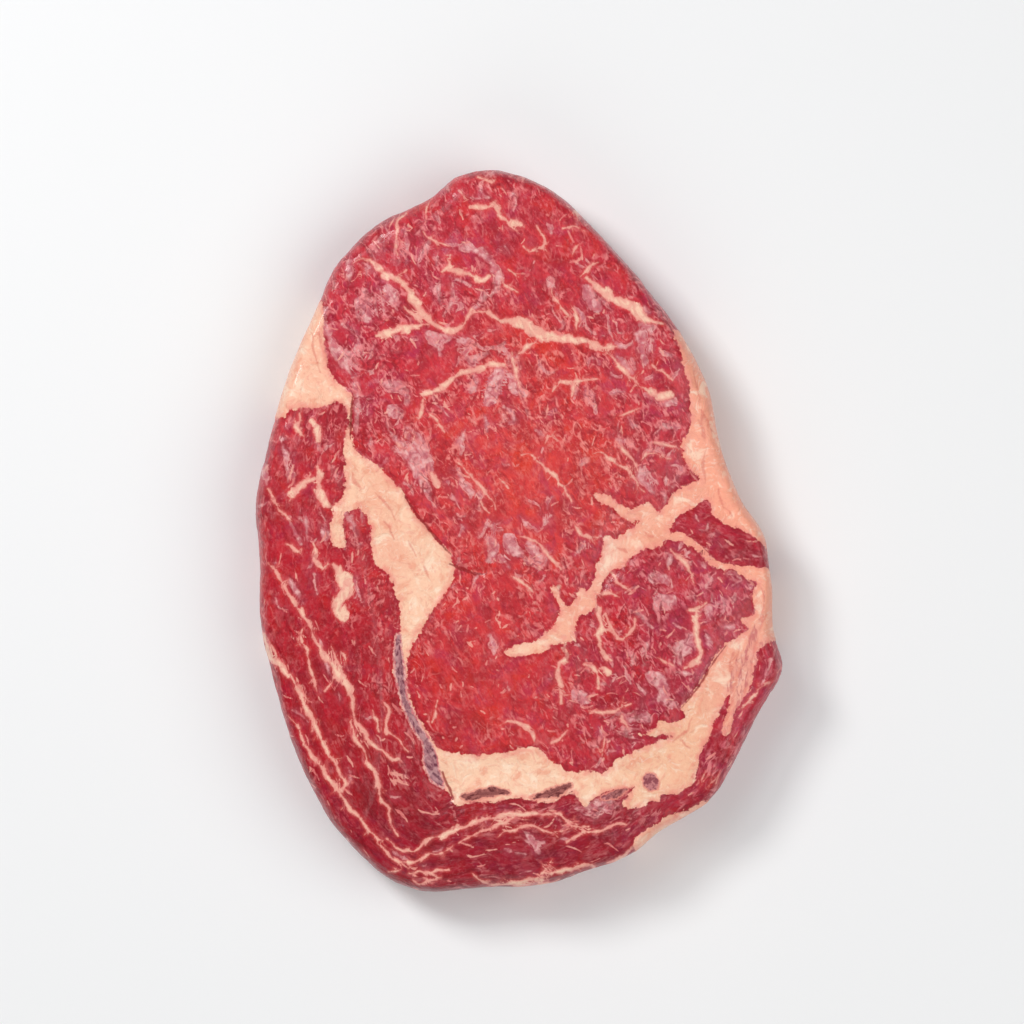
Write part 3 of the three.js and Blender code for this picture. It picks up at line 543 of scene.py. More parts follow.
# Tones of the lean: middle, half its width and length, turn in degrees, colour
LEAN_TONES = [
    ((0, 50), (60, 60), 0, colour(200, 58, 66)),
    ((4, 18), (24, 22), 0, colour(218, 88, 72)),
    ((-30, 56), (16, 26), -30, colour(184, 46, 68)),
    ((6, 46), (14, 6), -10, colour(212, 64, 44)),
    ((30, 58), (16, 30), 30, colour(190, 54, 68)),
    ((36, 26), (9, 16), 0, colour(180, 46, 66)),
    ((-6, -34), (24, 26), 0, colour(203, 62, 62)),
    ((30, -28), (20, 26), -12, colour(176, 44, 64)),
    ((46, -20), (12, 14), 0, colour(184, 64, 80)),
    ((52, -1), (14, 7), -25, colour(160, 8, 44)),
    ((24, -23), (4, 4), 0, colour(196, 20, 36)),
    ((30, -33), (3, 3), 0, colour(200, 30, 40)),
    ((-52, 5), (14, 34), 5, colour(182, 32, 48)),
    ((-46, -42), (16, 30), 12, colour(168, 8, 36)),
    ((-30, -66), (14, 18), 30, colour(146, 2, 34)),
    ((2, -78), (40, 12), 4, colour(144, 2, 36)),
    ((40, -68), (14, 9), 30, colour(170, 40, 56)),
    ((57, -44), (9, 22), -25, colour(180, 38, 62)),
]

# Where the cut face is smooth: middle, half its width and length, turn in degrees
CALM = [
    ((4, 16), (13, 8), -20), ((-22, 44), (8, 5), 0), ((4, 72), (18, 11), 0), ((-9, -38), (19, 20), 0),
    ((-50, -44), (10, 24), 10), ((-34, -74), (13, 13), 0), ((60, -40), (6, 14), -25),
    ((-56, -6), (11, 26), 5), ((6, -81), (40, 7), 4), ((52, -2), (14, 6), -25), ((-2, 4), (14, 8), 30),
]

# Tones of the fat, given in the same way
FAT_TONES = [
    ((-54, 42), (12, 22), 20, colour(250, 196, 172)),
    ((-34, 0), (14, 34), 25, colour(250, 206, 180)),
    ((0, -61), (28, 8), 0, colour(251, 210, 184)),
    ((-35, 8.5), (3.4, 5), 10, colour(240, 170, 146)),
    ((-31.6, -5.5), (3.4, 5), 10, colour(242, 170, 148)),
    ((21, -5), (4, 6), 0, colour(248, 206, 192)),
    ((36, -56), (14, 16), -40, colour(244, 194, 164)),
    ((50, 20), (14, 34), 12, colour(250, 172, 148)),
    ((26, 0), (16, 12), 30, colour(246, 180, 158)),
    ((56, -36), (8, 16), -25, colour(242, 172, 152)),
    ((40, -72), (16, 6), 30, colour(244, 190, 168)),
]


def curve_through(points, closed, step):
    """Points about step apart on a smooth curve through the given ones."""
    given = np.array(points, float)
    if closed:
        held = np.vstack([given[-1:], given, given[:2]])
    else:
        held = np.vstack([2 * given[:1] - given[1:2], given, 2 * given[-1:] - given[-2:-1]])
    made = []
    for a, b, c, d in zip(held, held[1:], held[2:], held[3:]):
        steps = max(1, math.ceil(np.linalg.norm((c - b)[:2]) / step))
        t = (np.arange(steps) / steps)[:, None]
        made.append(
            0.5 * (2 * b + (c - a) * t + (2 * a - 5 * b + 4 * c - d) * t**2 + (3 * b - a - 3 * c + d) * t**3)
        )
    if not closed:
        made.append(given[-1:])
    return np.vstack(made)


# The mesh: the same rings as the solid, in finer steps


def outline_ring(count):
    """Points evenly round the outline, and its length."""
    dense = curve_through(OUTLINE, True, 0.1)
    loop = np.vstack([dense, dense[:1]])
    run = np.concatenate([[0], np.cumsum(np.linalg.norm(np.diff(loop, axis=0), axis=1))])
    at = np.arange(count) / count * run[-1]
    return np.column_stack([np.interp(at, run, loop[:, k]) for k in (0, 1)]), run[-1]


def path_distance(x, y, path):
    """Distance of places from a path of straight pieces."""
    nearest = np.full(x.shape, np.inf)
    for (ax, ay), (bx, by) in zip(path, path[1:]):
        dx, dy = bx - ax, by - ay
        share = np.clip(((x - ax) * dx + (y - ay) * dy) / (dx * dx + dy * dy), 0, 1)
        nearest = np.minimum(nearest, np.hypot(x - ax - share * dx, y - ay - share * dy))
    return nearest


def face_height(x, y):
    """Height of the upper cut face, in the outline's own numbers."""
    height = np.full(x.shape, THICKNESS)
    for (mx, my), (half_x, half_y), turn, rise in DOMES:
        c, s = math.cos(math.radians(turn)), math.sin(math.radians(turn))
        across = ((x - mx) * c + (y - my) * s) / half_x
        along = ((y - my) * c - (x - mx) * s) / half_y
        height += rise * np.sqrt(np.maximum(0, 1 - across**2 - along**2))
    for seam in SEAMS:
        height -= SEAM_DEPTH * np.exp(-((path_distance(x, y, seam) / SEAM_WIDTH) ** 2))
    long_x, long_y = (2 * math.pi / length for length in SWELL_LENGTH)
    return height + SWELL * np.sin(long_x * x + SWELL_SHIFT[0]) * np.cos(long_y * y + SWELL_SHIFT[1])


def corner_steps(count, width, height):
    """(inset, reach) of a rounded corner's steps, evenly spaced along it from face to waist."""
    angle = np.linspace(math.pi / 2, 0, CORNER_SAMPLES)
    inset = 1 - np.cos(angle) ** (2 / SQUARENESS)
    reach = np.sin(angle) ** (2 / SQUARENESS)
    run = np.concatenate([[0], np.cumsum(np.hypot(np.diff(inset * width), np.diff(reach * height)))])
    at = np.linspace(0, run[-1], count + 1)
    return np.column_stack([np.interp(at, run, inset), np.interp(at, run, reach)]), run[-1]


def fan_rings(edge, rings):
    """Rings of 8, 16, 24 and more points in from an edge ring, the smallest first."""
    made = []
    for ring in range(1, rings):
        place = np.arange(8 * ring) * rings / ring
        before = np.floor(place).astype(int)
        share = (place - before)[:, None]
        after = np.ceil(place).astype(int) % len(edge)
        made.append((edge[before] * (1 - share) + edge[after] * share) * ring / rings)
    return made


def fan_triangles(loops):
    """Triangles between rings of 8, 16, 24 and more points, the first being one middle point."""
    made = []
    for ring in range(1, len(loops)):
        outer, inner = loops[ring], loops[ring - 1]
        i = np.arange(2 * ring)
        for side in range(4):
            start, begin = 2 * ring * side, 2 * (ring - 1) * side
            a = outer[start + i]
            b = outer[(start + i + 1) % len(outer)]
            near = inner[(begin + np.maximum(0, i - 1)) % len(inner)]
            far = inner[(begin + np.minimum(2 * ring - 2, i)) % len(inner)]
            made.append(np.column_stack([near, a, b]))
            apart = near != far
            made.append(np.column_stack([near, b, far])[apart])
    return np.vstack(made)


# Places in the bake, in pixels of its 1024: the upper face large, the lower face and wall beside it
BAKE = 1024
PLAN_CORNER = np.array([-66.9, -91.4])  # the least x and y of the plan
FACE_SCALE = 5.38
FACE_AT = (12, 10)
BASE_SCALE = 2.02
BASE_AT = (8, 750)
WALL_SCALE = 3.75
WALL_AT = (384, 750)
WALL_STRIPS = 3
WALL_GAP = 8
WALL_TURN = 0.62  # share of the upper corner that the upper face's place takes


def plan_in_bake(at, corner, scale):
    """Plan places in the bake, turned so that the steak's length runs along its width."""
    return (np.array(corner) + (at - PLAN_CORNER)[:, ::-1] * scale) / BAKE


class Skin:
    """The steak's closed skin: its places, shares of depth, triangles, and where these lie in the bake."""

    def __init__(self):
        self.places, self.depths, self.count = [], [], 0
        self.triangles, self.maps = [], []
        outline, self.length = outline_ring(AROUND)
        solid_ring, _ = outline_ring(SOLID_AROUND)
        self.middle = (solid_ring.min(0) + solid_ring.max(0)) / 2
        self.outline = outline - self.middle
        # the wall's rings from the top down, their places on the plan, and how far down the wall they lie
        self.wall, self.plans, self.runs = [], [], []
        self.make_wall()
        self.make_wall_faces()
        self.make_upper_face()
        self.make_lower_face()

    def ring(self, at, height, depth):
        """Adds points at plan places, and returns their numbers."""
        self.places.append(np.column_stack([at, np.broadcast_to(height, len(at))]))
        self.depths.append(np.broadcast_to(depth, len(at)))
        self.count += len(at)
        return np.arange(self.count - len(at), self.count)

    def faces(self, corners, where):
        """Adds triangles (n, 3), each corner with its place in the bake (n, 3, 2)."""
        self.triangles.append(corners)
        self.maps.append(where)

    def plan_faces(self, corners, at, scale):
        """Adds triangles that lie in the bake as they do on the plan."""
        where = plan_in_bake(np.vstack(self.places)[:, :2], at, scale)
        self.faces(corners, where[corners])

    def top_at(self, at):
        """Height of the upper cut face at places of the mesh."""
        return face_height(*(at + self.middle).T)

    def make_wall(self):
        """The side wall, from the edge of the upper cut face down to the edge of the lower one."""
        along = np.roll(self.outline, -1, 0) - np.roll(self.outline, 1, 0)
        along /= np.linalg.norm(along, axis=1)[:, None]
        inward = np.column_stack([-along[:, 1], along[:, 0]])
        lean = 1 + LEAN * np.sin(2 * math.pi * LEAN_WAVES * np.arange(AROUND) / AROUND)
        upper, upper_run = corner_steps(UPPER_LEVELS, TOP_ROUND, THICKNESS - WAIST)
        lower, lower_run = corner_steps(LOWER_LEVELS, BASE_ROUND, WAIST)
        for step, (inset, reach) in enumerate(upper):
            at = self.outline + inward * (INSET + TOP_ROUND * lean * inset)[:, None]
            top = self.top_at(at)
            height = WAIST + (top - WAIST) * reach
            self.wall.append(self.ring(at, height, (top - height) / THICKNESS))
            self.plans.append(at)
            self.runs.append(upper_run * step / UPPER_LEVELS)
        for step, (inset, reach) in list(enumerate(lower[::-1]))[1:]:
            at = self.outline + inward * (INSET + BASE_ROUND * inset)
            height = WAIST * (1 - reach)
            self.wall.append(self.ring(at, height, 1 - height / THICKNESS))
            self.plans.append(at)
            self.runs.append(upper_run + lower_run * step / LOWER_LEVELS)

    def make_wall_faces(self):
        """The wall's faces. The first ones share the upper face's place in the bake, and the others lie in
        strips beside it."""
        around = np.arange(AROUND)
        strip = around * WALL_STRIPS // AROUND
        along = np.maximum(0, around - np.ceil(strip * AROUND / WALL_STRIPS))
        step = self.length / AROUND * WALL_SCALE
        left, right = WALL_AT[0] + along * step, WALL_AT[0] + (along + 1) * step
        split = round(UPPER_LEVELS * WALL_TURN)
        down = (np.array(self.runs) - self.runs[split]) * WALL_SCALE
        strip_top = WALL_AT[1] + strip * (down[-1] + WALL_GAP)
        for level in range(len(self.wall) - 1):
            upper, lower = self.wall[level : level + 2]
            if level < split:
                above, below = (plan_in_bake(at, FACE_AT, FACE_SCALE) for at in self.plans[level : level + 2])
                where = [above, below, np.roll(below, -1, 0), np.roll(above, -1, 0)]
            else:
                high, low = strip_top + down[level], strip_top + down[level + 1]
                corners = [(left, high), (left, low), (right, low), (right, high)]
                where = [np.column_stack(corner) / BAKE for corner in corners]
            square = [upper, lower, np.roll(lower, -1), np.roll(upper, -1)]
            for picked in ((0, 1, 2), (0, 2, 3)):
                self.faces(
                    np.column_stack([square[k] for k in picked]),
                    np.stack([where[k] for k in picked], 1),
                )

    def make_upper_face(self):
        rings = [np.zeros((1, 2)), *fan_rings(self.plans[0], RINGS)]
        loops = [self.ring(at, self.top_at(at), 0.0) for at in rings]
        self.plan_faces(fan_triangles([*loops, self.wall[0]]), FACE_AT, FACE_SCALE)

    def make_lower_face(self):
        """The flat lower cut face: from the rim to a ring of every second point, then rings to the middle."""
        rim = self.wall[-1]
        edge = self.plans[-1][::2] * (1 - BASE_STEP)
        first = self.ring(edge, 0.0, 1.0)
        after = np.roll(first, -1)
        here, between, there = rim[::2], rim[1::2], np.roll(rim[::2], -1)
        corners = np.vstack([
            np.column_stack([here, first, between]),
            np.column_stack([between, first, after]),
            np.column_stack([between, after, there]),
        ])
        self.plan_faces(corners, BASE_AT, BASE_SCALE)
        rings = [np.zeros((1, 2)), *fan_rings(edge, BASE_RINGS)]
        loops = [self.ring(at, 0.0, 1.0) for at in rings]
        self.plan_faces(fan_triangles([*loops, first])[:, ::-1], BASE_AT, BASE_SCALE)


# The anatomy, worked out at every point of the skin


class Plan:
    """The skin's points laid on the plan of the cut face, kept in order of y for quick searches."""

    def __init__(self, x, y):
        self.order = np.argsort(y)
        self.x, self.y = x[self.order], y[self.order]

    def near(self, points, reach):
        """Which points lie within reach of the box round some places."""
        low, high = points.min(0) - reach, points.max(0) + reach
        a, b = np.searchsorted(self.y, (low[1], high[1]))
        x = self.x[a:b]
        return a + np.flatnonzero((x > low[0]) & (x < high[0]))

    def back(self, values):
        """Values in the skin's own order."""
        made = np.empty_like(values)
        made[self.order] = values
        return made

    def inside(self, corners, reach=6.0):
        """Distance in from a closed curve, less than nothing outside it."""
        ring = curve_through(corners, True, 0.8)
        distance = np.full(self.x.size, reach)
        within = np.zeros(self.x.size, bool)
        for a, b in zip(ring, np.roll(ring, -1, 0)):
            i = self.near(np.array([a, b]), reach)
            dx, dy = b - a
            x, y = self.x[i] - a[0], self.y[i] - a[1]
            share = np.clip((x * dx + y * dy) / (dx * dx + dy * dy), 0, 1)
            distance[i] = np.minimum(distance[i], np.hypot(x - share * dx, y - share * dy))
            low, high = np.searchsorted(self.y, sorted((a[1], b[1])))
            if high > low:
                crossing = a[0] + (self.y[low:high] - a[1]) / dy * dx
                within[low:high] ^= self.x[low:high] < crossing
        return np.where(within, distance, -distance)

    def strokes(self, strokes, reach=2.0):
        """For many tapering strokes of (x, y, half width) rows: how far a point is to one side of the
        nearest stroke's middle line, half its width there, and how far the point is beyond its edge."""
        side = np.full(self.x.size, reach)
        half = np.zeros(self.x.size)
        beyond = np.full(self.x.size, reach)
        for stroke in strokes:
            for a, b in zip(stroke, stroke[1:]):
                i = self.near(np.array([a[:2], b[:2]]), reach)
                dx, dy = b[:2] - a[:2]
                length = math.hypot(dx, dy)
                if length < 1e-6 or not i.size:
                    continue
                x, y = self.x[i] - a[0], self.y[i] - a[1]
                share = np.clip((x * dx + y * dy) / length**2, 0, 1)
                width = a[2] + share * (b[2] - a[2])
                gap = np.hypot(x - share * dx, y - share * dy) - width
                nearer = gap < beyond[i]
                i = i[nearer]
                beyond[i] = gap[nearer]
                half[i] = width[nearer]
                side[i] = ((x * dy - y * dx) / length)[nearer]
        return side, half, beyond

    def oval(self, at, half, turn):
        """1 in the middle of an oval, falling to nothing well outside it."""
        c, s = math.cos(math.radians(turn)), math.sin(math.radians(turn))
        x, y = self.x - at[0], self.y - at[1]
        return np.exp(-(((x * c + y * s) / half[0]) ** 2) - ((y * c - x * s) / half[1]) ** 2)

    def ovals(self, places):
        """1 in the middle of each of some ovals, falling to nothing well outside them."""
        return np.clip(sum(self.oval(*place) for place in places), 0, 1)

    def tones(self, tones):
        """One colour at each point, from the ovals of tone that reach it."""
        total = np.full(self.x.size, 1e-6)
        mixed = np.zeros((self.x.size, 3)) + 1e-6 * tones[0][3]
        for at, half, turn, shade in tones:
            weight = self.oval(at, half, turn)
            mixed += weight[:, None] * shade
            total += weight
        return mixed / total[:, None]


SEED = 11

# Side branches of veins: the chance of one at each point, and the widest vein that has them
SPUR_CHANCE = 0.16
SPUR_WIDEST = 0.7


def tapered(path, width, rng, wander, uneven):
    """A vein along a path: thin at its ends, with knots and necks, wandering a little."""
    line = curve_through(path, False, 0.8)
    share = np.linspace(0, 1, len(line))
    half = width * (0.35 + 0.65 * np.sin(math.pi * np.clip(share, 0.02, 0.98)) ** 0.5)
    knots = rng.uniform(-1, 1, (len(line) // 2 + 3, 3)) * (uneven * 1.4, wander * 2, wander * 2)
    slow = [np.interp(np.arange(len(line)) / 2, np.arange(len(knots)), k) for k in knots.T]
    quick = min(0.12, 0.35 * width) * rng.uniform(-1, 1, len(line))
    return np.column_stack([line[:, 0] + slow[1], line[:, 1] + slow[2], half * (1 + slow[0]) + quick])


def spurs(vein, width, rng):
    """Short side branches that leave a vein on either side."""
    made = []
    for k in range(2, len(vein) - 2):
        if rng.random() > SPUR_CHANCE:
            continue
        along = vein[k + 1, :2] - vein[k - 1, :2]
        angle = math.atan2(along[1], along[0]) + rng.choice([-1, 1]) * rng.uniform(0.5, 1.2)
        at = vein[k, :2]
        half = width * rng.uniform(0.25, 0.5)
        line = [(*at, half)]
        for share in (0.7, 0.4, 0.15):
            angle += rng.normal(0, 0.3)
            at = at + rng.uniform(0.3, 0.8) * (0.6 + width) * np.array([math.cos(angle), math.sin(angle)])
            line.append((*at, half * share))
        made.append(np.array(line))
    return made


# How far the anatomy shifts through the whole thickness, in long waves and in short ones
DRIFT_LONG = 3.0
DRIFT_SHORT = 1.4


def drift(x, y, depth):
    """How the anatomy shifts with depth, as a muscle's seams slope through the thickness."""
    return (
        x + depth * (DRIFT_LONG * np.sin(y / 17 + 0.6) + DRIFT_SHORT * np.sin(x / 9 + 2)),
        y + depth * (DRIFT_LONG * np.sin(x / 21 - 0.4) + DRIFT_SHORT * np.cos(y / 11 + 1)),
    )


# The outer band runs round this place
BAND_CENTRE = (2.0, -5.0)

# Fine marbling by rule: for each muscle the number of flecks, their length, half width, the way they
# run in degrees, and how far they stray from it. Where the way is None they run round the steak.
FLECKS = [
    (EYE, 230, (0.5, 3.0), (0.12, 0.34), -62, 50),
    (LOWER_LOBE, 80, (0.4, 1.6), (0.14, 0.34), -70, 60),
    (CAP, 70, (0.6, 3.0), (0.14, 0.36), 50, 55),
    (SIDE_STRIP, 10, (0.8, 2.5), (0.14, 0.3), -25, 25),
    (OUTER_BAND, 150, (1.0, 5.0), (0.14, 0.34), None, 12),
]
FLECK_BEND = 0.35  # how strongly a fleck bends, in radians

# Small curled ribbons of painted reflection by the same rule
PAINTED_SHEEN_CURLS = [
    (EYE, 110, (1.2, 5.0), (0.3, 0.8), -70, 45),
    (LOWER_LOBE, 6, (1.0, 3.0), (0.2, 0.5), -70, 60),
    (CAP, 50, (1.2, 4.5), (0.3, 0.8), 40, 60),
    (SIDE_STRIP, 8, (1.0, 3.0), (0.2, 0.4), -25, 25),
    (OUTER_BAND, 50, (1.5, 5.0), (0.25, 0.5), None, 14),
]
PAINTED_SHEEN_CURL_BEND = 1.3


def inside_polygon(x, y, corners):
    """Whether one place lies inside a closed curve."""
    ring = curve_through(corners, True, 2.0)
    within = False
    for (ax, ay), (bx, by) in zip(ring, np.roll(ring, -1, 0)):
        if (ay > y) != (by > y) and x < ax + (y - ay) / (by - ay) * (bx - ax):
            within = not within
    return within


def scattered(rule, rng, bends):
    """Short bent strokes inside each muscle of a rule."""
    made = []
    for corners, count, lengths, halves, way, stray in rule:
        spots = np.array(corners, float)
        low, high = spots.min(0), spots.max(0)
        found = 0
        while found < count:
            x, y = rng.uniform(low, high)
            if not inside_polygon(x, y, corners):
                continue
            found += 1
            if way is None:
                angle = math.degrees(math.atan2(y - BAND_CENTRE[1], x - BAND_CENTRE[0])) + 90
            else:
                angle = way
            angle = math.radians(angle + rng.normal(0, stray))
            length = lengths[0] + (lengths[1] - lengths[0]) * rng.random() ** 2.2
            half = rng.uniform(*halves)
            bend = rng.normal(0, bends)
            line = [(x, y, half * 0.5)]
            steps = max(2, round(length / 0.7))
            for k in range(steps):
                angle += bend / steps + rng.normal(0, 0.18)
                x += math.cos(angle) * length / steps
                y += math.sin(angle) * length / steps
                line.append((x, y, half * (1 - 0.5 * (k + 1) / steps) * rng.uniform(0.8, 1.2)))
            made.append(np.array(line))
    return made


# The way each muscle's fibres show on the cut face, in degrees. The outer band's follow the outline.
# Muscles that join without a seam share their fibres' places.
GRAIN_WAYS = [-62, -62, -62, -25, None]
GRAIN_APART = {None: 40.0, -25: 80.0, -62: 0.0}
BAND_RADIUS = 62.0
BAND_MIDDLE = 235.0  # degrees round the steak to the middle of the outer band


def fibre_place(plan, way, depth):
    """Places along and across a muscle's fibres, in millimetres, with a third that tells muscles apart."""
    if way is None:
        turn = math.radians(BAND_MIDDLE)
        x, y = plan.x - BAND_CENTRE[0], plan.y - BAND_CENTRE[1]
        along = BAND_RADIUS * np.arctan2(
            y * math.cos(turn) - x * math.sin(turn), x * math.cos(turn) + y * math.sin(turn)
        )
        across = plan.inside(OUTLINE, reach=45.0)
    else:
        c, s = math.cos(math.radians(way)), math.sin(math.radians(way))
        along, across = plan.x * c + plan.y * s, plan.y * c - plan.x * s
    return np.column_stack([along, across, GRAIN_APART[way] + 0.3 * THICKNESS * depth])


def muscle_masks(plan, depth):
    """How far in each point lies from the edge of the lean, and its place among the fibres."""
    lean = np.full(plan.x.size, -6.0)
    grain = fibre_place(plan, GRAIN_WAYS[0], depth)
    for way, corners in zip(GRAIN_WAYS, LEAN_MUSCLES):
        within = plan.inside(corners)
        here = within > np.maximum(lean, -2.5)
        grain[here] = fibre_place(plan, way, depth)[here]
        lean = np.maximum(lean, within)
    return lean, grain


FAT_WARMER = np.array([1.0, 0.93, 0.86])  # keeps the fat from looking pale under the lights
LEAN_PURER = np.array([1.0, 0.56, 0.7])  # makes up for the pale sheen over the lean


def anatomy(x, y, depth):
    """Every mask of the skin by name, from plan places and the share of depth below the upper face."""
    rng = np.random.default_rng(SEED)

    def along(rows, wander, uneven):
        return [tapered(path, width, rng, wander, uneven) for width, path in rows]

    veins = along(VEINS, 0.16, 0.42)
    for (width, _), vein in zip(VEINS, list(veins)):
        if width < SPUR_WIDEST:
            veins += spurs(vein, width, rng)
    flecks = scattered(FLECKS, rng, FLECK_BEND)
    # the ribbons of painted reflection: the listed ones and the curled ones
    painted_sheen_marks = along(PAINTED_SHEEN_PATHS, 0.1, 0.25) + scattered(PAINTED_SHEEN_CURLS, rng, PAINTED_SHEEN_CURL_BEND)
    vessels = along(VESSELS, 0.1, 0.15)
    crevices = along(CREVICES, 0.06, 0.3)
    threads = along(THREADS, 0.15, 0.4)
    gristle = along(GRISTLE, 0.15, 0.4)

    plan = Plan(*drift(x, y, depth))
    lean, grain = muscle_masks(plan, depth[plan.order])
    masks = {
        "lean": lean,
        "grain": grain,
        "lean_tone": plan.tones(LEAN_TONES) * LEAN_PURER,
        "fat_tone": plan.tones(FAT_TONES) * FAT_WARMER,
        "calm": plan.ovals(CALM),
        "pale_vessel": plan.ovals(PALE_VESSELS),
        "membrane": plan.strokes([curve_through(MEMBRANE, False, 1.0)], reach=3.0)[2],
        "vessel": plan.strokes(vessels, reach=3.0)[2],
        "gristle": plan.strokes(gristle)[2],
    }
    for name, strokes, reach in (
        ("vein", veins, 2.0), ("fleck", flecks, 1.2), ("ribbon", painted_sheen_marks, 1.6), ("crevice", crevices, 2.0),
        ("thread", threads, 2.0),
    ):
        side, half, beyond = plan.strokes(strokes, reach)
        masks |= {f"{name}_side": side, f"{name}_half": half, f"{name}_beyond": beyond}
    masks["strand"] = np.column_stack([0.2 * plan.x, masks["ribbon_side"], 0.2 * plan.y])
    return {name: plan.back(values) for name, values in masks.items()}


# Node maths: a socket that can be used in expressions


class Value:
    """A node socket that adds Math nodes when it is used in an expression."""

    def __init__(self, tree, socket):
        self.tree, self.socket = tree, socket

    def maths(self, operation, *others):
        node = self.tree.nodes.new("ShaderNodeMath")
        node.operation = operation
        for slot, value in zip(node.inputs, (self, *others)):
            if isinstance(value, Value):
                self.tree.links.new(value.socket, slot)
            else:
                slot.default_value = value
        return Value(self.tree, node.outputs[0])

    def __add__(self, other):
        return self.maths("ADD", other)

    def __sub__(self, other):
        return self.maths("SUBTRACT", other)

    def __mul__(self, other):
        return self.maths("MULTIPLY", other)

    __radd__ = __add__
    __rmul__ = __mul__

    def __rsub__(self, other):
        return (self * -1) + other

    def __abs__(self):
        return self.maths("ABSOLUTE")

    def rises(self, start, end):
        """0 at start, 1 at end, with soft ends. End may be the smaller."""
        node = self.tree.nodes.new("ShaderNodeMapRange")
        node.interpolation_type = "SMOOTHSTEP"
        self.tree.links.new(self.socket, node.inputs["Value"])
        node.inputs["From Min"].default_value = min(start, end)
        node.inputs["From Max"].default_value = max(start, end)
        node.inputs["To Min"].default_value = 0.0 if end > start else 1.0
        node.inputs["To Max"].default_value = 1.0 if end > start else 0.0
        return Value(self.tree, node.outputs[0])


class Nodes:
    """The nodes of one tree, for a material or for geometry."""

    def __init__(self, tree):
        self.tree = tree

    def node(self, kind, settings=None, **sockets):
        """A node of any kind: its settings are set first, then its sockets' values or links. A socket's
        name has _ for a blank, or is _0, _1 and so on for its place."""
        node = self.tree.nodes.new(kind)
        for name, value in (settings or {}).items():
            setattr(node, name, value)
        for name, value in sockets.items():
            slot = node.inputs[int(name[1:])] if name[0] == "_" else node.inputs[name.replace("_", " ")]
            if isinstance(value, Value):
                self.tree.links.new(value.socket, slot)
            else:
                slot.default_value = value
        return node

    def value(self, node, output=0):
        return Value(self.tree, node.outputs[output])

    def vector(self, operation, a, b, c=(0, 0, 0)):
        return self.value(self.node("ShaderNodeVectorMath", {"operation": operation}, _0=a, _1=b, _2=c))

    def scaled(self, place, factor):
        return self.value(self.node("ShaderNodeVectorMath", {"operation": "SCALE"}, _0=place, Scale=factor))

    def mix(self, share, a, b, blend="MIX"):
        """Colour a, with a share of colour b over it."""
        a, b = (tone if isinstance(tone, Value) else (*tone, 1) for tone in (a, b))
        settings = {"data_type": "RGBA", "blend_type": blend, "clamp_factor": True}
        return self.value(self.node("ShaderNodeMix", settings, _0=share, _6=a, _7=b), 2)

    def noise(self, place, size, detail=2.0, rough=0.5, warp=0.0):
        """Noise from 0 to 1 with lumps of about a size, on a place in millimetres."""
        scale = size.maths("POWER", -1.0) if isinstance(size, Value) else 1 / size
        node = self.node(
            "ShaderNodeTexNoise", Vector=place, Scale=scale, Detail=detail, Roughness=rough, Distortion=warp
        )
        return self.value(node)

    def warped(self, place, size, amount):
        """A place moved about by up to half an amount, in lumps of about a size."""
        node = self.node("ShaderNodeTexNoise", Vector=place, Scale=1 / size, Detail=1.0)
        moved = self.vector("MULTIPLY_ADD", self.value(node, 1), (amount,) * 3, (-amount / 2,) * 3)
        return self.vector("ADD", place, moved)

    def dots(self, place, size, share, soft):
        """Dots of mixed sizes up to about 0.4 of a size, in a share of the cells of that size."""
        node = self.node("ShaderNodeTexVoronoi", {"feature": "F1"}, Vector=place, Scale=1 / size)
        radius = self.value(node, 1).rises(1 - share, 1.1 - share * 0.5) * 0.42 * size
        dot = (radius - self.value(node) * size).rises(-soft * size, soft * size)
        return dot * radius.rises(0.0, 0.1 * size)


# Relief, as Geometry Nodes on the skin: sizes and depths in millimetres
RELIEF = {
    "Lump size": 9.0, "Lump depth": 0.35, "Bundle size": 3.4, "Bundle depth": 0.16,
    "Curl depth": 0.12, "Crease depth": 0.5, "Step depth": 0.18,
}
FREE_DEPTH = 0.15  # share of the thickness above the lower face over which the relief fades out


